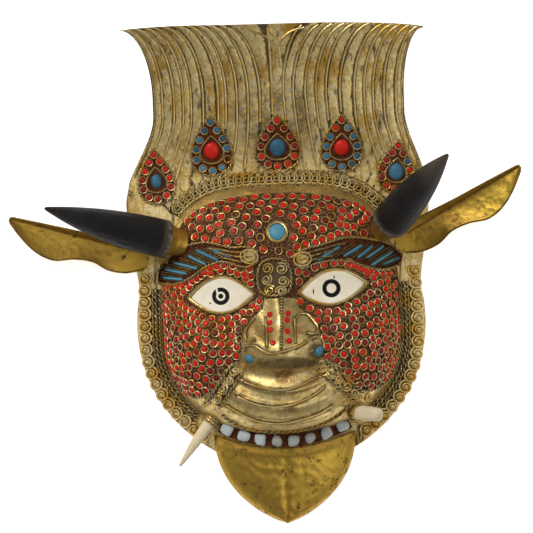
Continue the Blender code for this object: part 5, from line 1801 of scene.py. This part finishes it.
PLAQUE_SCROLLS = (
    (-0.0085, 0.0085, 0.0040, -60, 620), (0.0010, 0.0078, 0.0044, 120, -620),
    (-0.0090, 0.0005, 0.0038, 60, -620), (0.0020, -0.0012, 0.0040, 250, 620),
    (-0.0070, -0.0068, 0.0036, 30, 620), (0.0005, -0.0078, 0.0034, 200, -620),
)
NOSTRIL_STONES = {"left": (-0.0232, -0.0538, -35.0), "right": (0.0255, -0.0501, 55.0)}


class MASK_OT_nose(bpy.types.Operator):
    """Adds the plaque at the nose's root, the wires and stones of the nose and the muzzle"""

    bl_idname = "mask.nose"
    bl_label = "Nose"

    def execute(self, context):
        plaque = Shape()
        outline = oval(PLAQUE["x"], PLAQUE["y"], PLAQUE["width"] / 2, PLAQUE["height"] / 2,
                       squareness=2.6)
        centre = (PLAQUE["x"], PLAQUE["y"])
        plaque.add(*plate(outline, centre, even(PLAQUE_HEIGHT)), 0.6)
        plaque.add(*rope(on_skin(closed_line(outline), 0.0015), **PLAQUE_ROPE))
        for x, y, radius, start, sweep in PLAQUE_SCROLLS:
            for shrink, reach in ((0.75, 1.0), (0.4, 0.45)):
                curl = scroll(x, y, radius * reach, start, sweep * reach, shrink, 50)
                plaque.add(*tube(on_skin(curl, 0.0016), 0.00062), 0.1)
        make_piece("nose_plaque", plaque, finish_of("bright wire"),
                   ("nose_root_plaque",))
        wires = Shape()
        for number, route in enumerate(NOSE_WIRES):
            line = routed(route, 0.0005)
            wires.add(*(beaded(line, **NOSE_BEADING) if number == 0 else tube(line, NOSE_WIRE)))
        for route in MUZZLE_WIRES:
            wires.add(*tube(routed(route, 0.0003), NOSE_WIRE))
        wires.add(*rope(on_skin(smooth_path(LIP_ROPE), 0.0004), **LIP_WIRE))
        make_piece("nose_wires", wires, finish_of("bright wire"))
        stones = Shape()
        flat = drawn(*NOSE_STONES)
        points, faces = domes(on_skin(flat), skin_normal(flat[:, 0], flat[:, 1]), sides=12,
                              **NOSE_STONE)
        stones.add(points, faces, 0.25)
        make_piece("nose_stones", stones, finish_of("coral"))
        for side, (x, y, turn) in NOSTRIL_STONES.items():
            outline = oval(x, y, 0.0037, 0.0025, turn, 28)
            stone = Shape().add(*plate(outline, (x, y), rounded(0.0, 0.0020)), 0.3)
            make_piece(f"nostril_stone_{side}", stone, finish_of("turquoise"),
                       (f"nostril_stone_{side}",))
        return {"FINISHED"}


class MASK_OT_forehead_stone(bpy.types.Operator):
    """Sets the round turquoise of the forehead in its ring"""

    bl_idname = "mask.forehead_stone"
    bl_label = "Forehead stone"

    def execute(self, context):
        x, y, radius = FOREHEAD_STONE["x"], FOREHEAD_STONE["y"], FOREHEAD_STONE["radius"]
        outline = oval(x, y, radius, radius)
        stone = Shape().add(*plate(outline, (x, y), rounded(0.0004, 0.0027), rings=10), 0.2)
        make_piece("forehead_stone", stone, finish_of("turquoise"), ("forehead_stone",),
                   60)
        rings = Shape()
        rings.add(*tube(on_skin(circle(x, y, radius + 0.0005, count=48), 0.0009), 0.0006))
        rings.add(*rope(on_skin(circle(x, y, radius + 0.0015, count=48), 0.0006), 0.0006, 0.0018))
        make_piece("forehead_ring", rings, finish_of("bright wire"))
        return {"FINISHED"}


class MASK_OT_lip_strips(bpy.types.Operator):
    """Lays strips of scrolls beside the ends of the upper lip and along the lower edge of each cheek"""

    bl_idname = "mask.lip_strips"
    bl_label = "Lip strips"

    def execute(self, context):
        for side, shape in LIP_STRIPS.items():
            line = smooth_path(shape["line"], 0.0007)
            width = np.full(len(line), shape["width"])
            work = Shape().add(*strip(line, width, even(0.0009)), 1.0)
            offset = sideways_of(line) * shape["width"]
            for edge in (line - offset, line + offset):
                work.add(*rope(on_skin(edge, 0.0014), **STRIP_ROPE))
            for x, y in even_steps(line, CURL_PITCH)[:-1] + 0.0018 * unit(line[-1:] - line[:1]):
                curl = scroll(x, y, 0.0034, 200, 560, 0.8, 50)
                work.add(*tube(on_skin(curl, 0.0016), 0.0008))
            make_piece(f"lip_strip_{side}", work, finish_of("bright wire"),
                       (f"lip_strip_{side}",))
        fill = Shape()
        for edge, side in ((LEFT_CHEEK, -1), (RIGHT_CHEEK, 1)):
            line = smooth_path(edge)
            fill.add(*rope(on_skin(line[::2], 0.0008), **CHEEK_ROPE))
            outside = even_steps(line + side * 0.0045 * sideways_of(line), CURL_PITCH)
            inside = face_radius(outside[:, 0], outside[:, 1]) < 0.95
            for x, y in outside[inside]:
                curl = scroll(x, y, 0.0031, 200, 600, 0.75, 44)
                fill.add(*tube(on_skin(curl, 0.0006), 0.0007))
        make_piece("cheek_scrolls", fill, finish_of("bright wire"))
        return {"FINISHED"}


TEETH = 8
TEETH_HALF_SPAN = 0.0405
TEETH_ARC_Y = -0.1125
TEETH_ARC_RISE = 0.0090
TOOTH_WIDTH = 0.0092
TOOTH_HEIGHT = 0.0088
GUM_ABOVE = 0.0058
GUM_BELOW = 0.0040
GUM_THICK = 0.0050
GUM_HEIGHT = 0.0225
GUM_FALL = 0.0085


def gum_height(x, y):
    """The bed under the teeth falls as the square of the way out."""
    return GUM_HEIGHT - GUM_FALL * (x / TEETH_HALF_SPAN) ** 2 + 0 * y


class MASK_OT_mouth(bpy.types.Operator):
    """Makes the bed of lac in the mouth and the eight teeth of shell that stand on it"""

    bl_idname = "mask.mouth"
    bl_label = "Mouth"

    def execute(self, context):
        x = np.linspace(-TEETH_HALF_SPAN - TOOTH_WIDTH / 2, TEETH_HALF_SPAN + TOOTH_WIDTH / 2, 90)
        middle = TEETH_ARC_Y + TEETH_ARC_RISE * (x / TEETH_HALF_SPAN) ** 2
        line = np.column_stack([x, middle])
        bed = Shape().add(*strip(line + (0, (GUM_ABOVE - GUM_BELOW) / 2),
                                 np.full(len(x), (GUM_ABOVE + GUM_BELOW) / 2),
                                 lambda across: -0.0004 * across ** 4 + 0.0001 * np.sin(across * 9),
                                 GUM_THICK, np.linspace(-1, 1, 11), gum_height))
        make_piece("tooth_bed", bed, finish_of("lac"), ("tooth_bed",))
        random = np.random.default_rng(7)
        for number in range(TEETH):
            spread = 2 * number / (TEETH - 1) - 1
            px = spread * TEETH_HALF_SPAN
            py = TEETH_ARC_Y + TEETH_ARC_RISE * spread ** 2
            slope = math.degrees(math.atan2(2 * TEETH_ARC_RISE * spread, TEETH_HALF_SPAN))
            wide = random.uniform(0.76, 0.94)
            tall = random.uniform(0.78, 0.98)
            square = random.uniform(2.2, 3.6)
            outline = oval(px, py, TOOTH_WIDTH / 2 * wide, TOOTH_HEIGHT / 2 * tall,
                           slope + random.uniform(-9, 9), 40, square)
            around = full_turn(40)
            uneven = 1 + 0.07 * np.sin(2 * around + random.uniform(0, 6))
            uneven = uneven + 0.06 * np.sin(3 * around + random.uniform(0, 6))
            outline = (px, py) + (outline - (px, py)) * uneven[:, None]
            tooth = Shape().add(*plate(outline, (px, py),
                                       lambda share: 0.0008 + 0.0026 * (1 - 0.75 * share ** 3.5), 0.0,
                                       level=gum_height), random.uniform(0, 0.6))
            make_piece(f"tooth_{number + 1}", tooth, finish_of("shell"),
                       (f"tooth_{number + 1}",), 60)
        return {"FINISHED"}


# Jewels of the crown

JEWEL_BEADS = 12
RED_JEWELS = (2, 4)
TRAY_HEIGHT = 0.0010
JEWEL_RING = dict(radii=0.00255, wire=0.0004)
JEWEL_BEAD_RADII = (0.0019, 0.0022)
JEWEL_BEAD_HEIGHT = 0.0014
STONE_TONES = (0.60, 0.1, 0.75, 0.1, 0.60)
OTHER_COLOUR = {4: (0, 11), 5: (2,)}
LOST_BEADS = {2: (4,)}


class MASK_OT_jewels(bpy.types.Operator):
    """Sets five drop-shaped jewels on the crown, each a tray of lac, a ring of beads and a stone"""

    bl_idname = "mask.jewels"
    bl_label = "Crown jewels"

    def execute(self, context):
        random = np.random.default_rng(23)
        wires = Shape()
        beads = {"coral": Shape(), "turquoise": Shape()}
        for number, jewel in enumerate(JEWELS, 1):
            turn = math.radians(jewel["turn"])
            centre = (jewel["x"] + STONE_DROP * math.sin(turn),
                      jewel["y"] - STONE_DROP * math.cos(turn))
            tray = Shape().add(*plate(drop_outline(jewel, 0.98, 0.98), centre, even(TRAY_HEIGHT), 0.0))
            make_piece(f"jewel_tray_{number}", tray, finish_of("lac"), (f"jewel_tray_{number}",))
            for width, tall, lower, radius in ((0.99, 0.99, 0.0, 0.0010),
                                               (0.57, 0.46, STONE_DROP * 0.7, 0.0007)):
                outline = drop_outline(jewel, width, tall, lower)
                wires.add(*rope(on_skin(even_steps(closed_line(outline), 0.0008), 0.0013), radius,
                                radius * 3))
            ring = even_steps(np.vstack([drop_outline(jewel, 0.76, 0.80, 0.0004, 200)] * 2)[:201],
                              0.0004)
            places = ring[np.linspace(0, len(ring), JEWEL_BEADS, endpoint=False).astype(int)]
            normals = skin_normal(places[:, 0], places[:, 1])
            order = np.arange(JEWEL_BEADS)
            blue = np.isin(order, OTHER_COLOUR.get(number, ())) ^ (number in RED_JEWELS)
            kept = ~np.isin(order, LOST_BEADS.get(number, ()))
            wires.add(*rings_at(on_skin(places, 0.0013), normals, **JEWEL_RING))
            widths = random.uniform(*JEWEL_BEAD_RADII, JEWEL_BEADS)
            tones = np.clip(random.beta(1.2, 1.8, JEWEL_BEADS) + 0.3 * blue, 0, 1)
            for kind, chosen in (("turquoise", kept & blue), ("coral", kept & ~blue)):
                if chosen.any():
                    points, faces = domes(on_skin(places, 0.0010)[chosen], normals[chosen],
                                          widths[chosen], JEWEL_BEAD_HEIGHT)
                    beads[kind].add(points, faces,
                                    np.repeat(tones[chosen], len(points) // chosen.sum()))
            outline = oval(*centre, jewel["stone_x"], jewel["stone_y"], jewel["turn"], 44)
            stone = Shape().add(*plate(outline, centre, rounded(0.0006, 0.0032), rings=10),
                                STONE_TONES[number - 1])
            kind = "coral" if number in RED_JEWELS else "turquoise"
            make_piece(f"jewel_stone_{number}", stone, finish_of(kind),
                       (f"jewel_stone_{number}",), 60)
        make_piece("jewel_wires", wires, finish_of("bright wire"))
        make_piece("jewel_beads_red", beads["coral"], finish_of("coral"))
        make_piece("jewel_beads_blue", beads["turquoise"], finish_of("turquoise"))
        return {"FINISHED"}


class MASK_PT_panel(bpy.types.Panel):
    """Lists the steps of the mask in the sidebar, with its sizes and colours"""

    bl_idname = "MASK_PT_panel"
    bl_label = "Ritual mask"
    bl_space_type = "VIEW_3D"
    bl_region_type = "UI"
    bl_category = "Mask"

    def draw(self, context):
        for step in STEPS:
            self.layout.operator(step.bl_idname)
        for group in (context.scene.mask_sizes, context.scene.mask_colours):
            for name in group.__annotations__:
                self.layout.prop(group, name)


STEPS = (MASK_OT_crown, MASK_OT_hair_wires, MASK_OT_face, MASK_OT_beads, MASK_OT_forehead_band,
         MASK_OT_borders, MASK_OT_brows, MASK_OT_eyes, MASK_OT_nose, MASK_OT_forehead_stone,
         MASK_OT_lip_strips, MASK_OT_mouth, MASK_OT_jewels, MASK_OT_horns, MASK_OT_tusks, MASK_OT_ears,
         MASK_OT_chin, MASK_OT_stage)


def register():
    """Registers every class and puts the sizes and colours on the scene."""
    for kind in (MaskSizes, MaskColours, *STEPS, MASK_PT_panel):
        bpy.utils.register_class(kind)
    bpy.types.Scene.mask_sizes = bpy.props.PointerProperty(type=MaskSizes)
    bpy.types.Scene.mask_colours = bpy.props.PointerProperty(type=MaskColours)


def unregister():
    """Takes back what register did, in the opposite order."""
    del bpy.types.Scene.mask_colours
    del bpy.types.Scene.mask_sizes
    for kind in (MASK_PT_panel, *reversed(STEPS), MaskColours, MaskSizes):
        bpy.utils.unregister_class(kind)


def main():
    """Builds the mask step by step."""
    register()
    bpy.ops.mask.crown()
    bpy.ops.mask.hair_wires()
    bpy.ops.mask.face()
    bpy.ops.mask.beads()
    bpy.ops.mask.forehead_band()
    bpy.ops.mask.borders()
    bpy.ops.mask.brows()
    bpy.ops.mask.eyes()
    bpy.ops.mask.nose()
    bpy.ops.mask.forehead_stone()
    bpy.ops.mask.lip_strips()
    bpy.ops.mask.mouth()
    bpy.ops.mask.jewels()
    bpy.ops.mask.horns()
    bpy.ops.mask.tusks()
    bpy.ops.mask.ears()
    bpy.ops.mask.chin()
    bpy.ops.mask.stage()


if __name__ == "__main__":
    main()
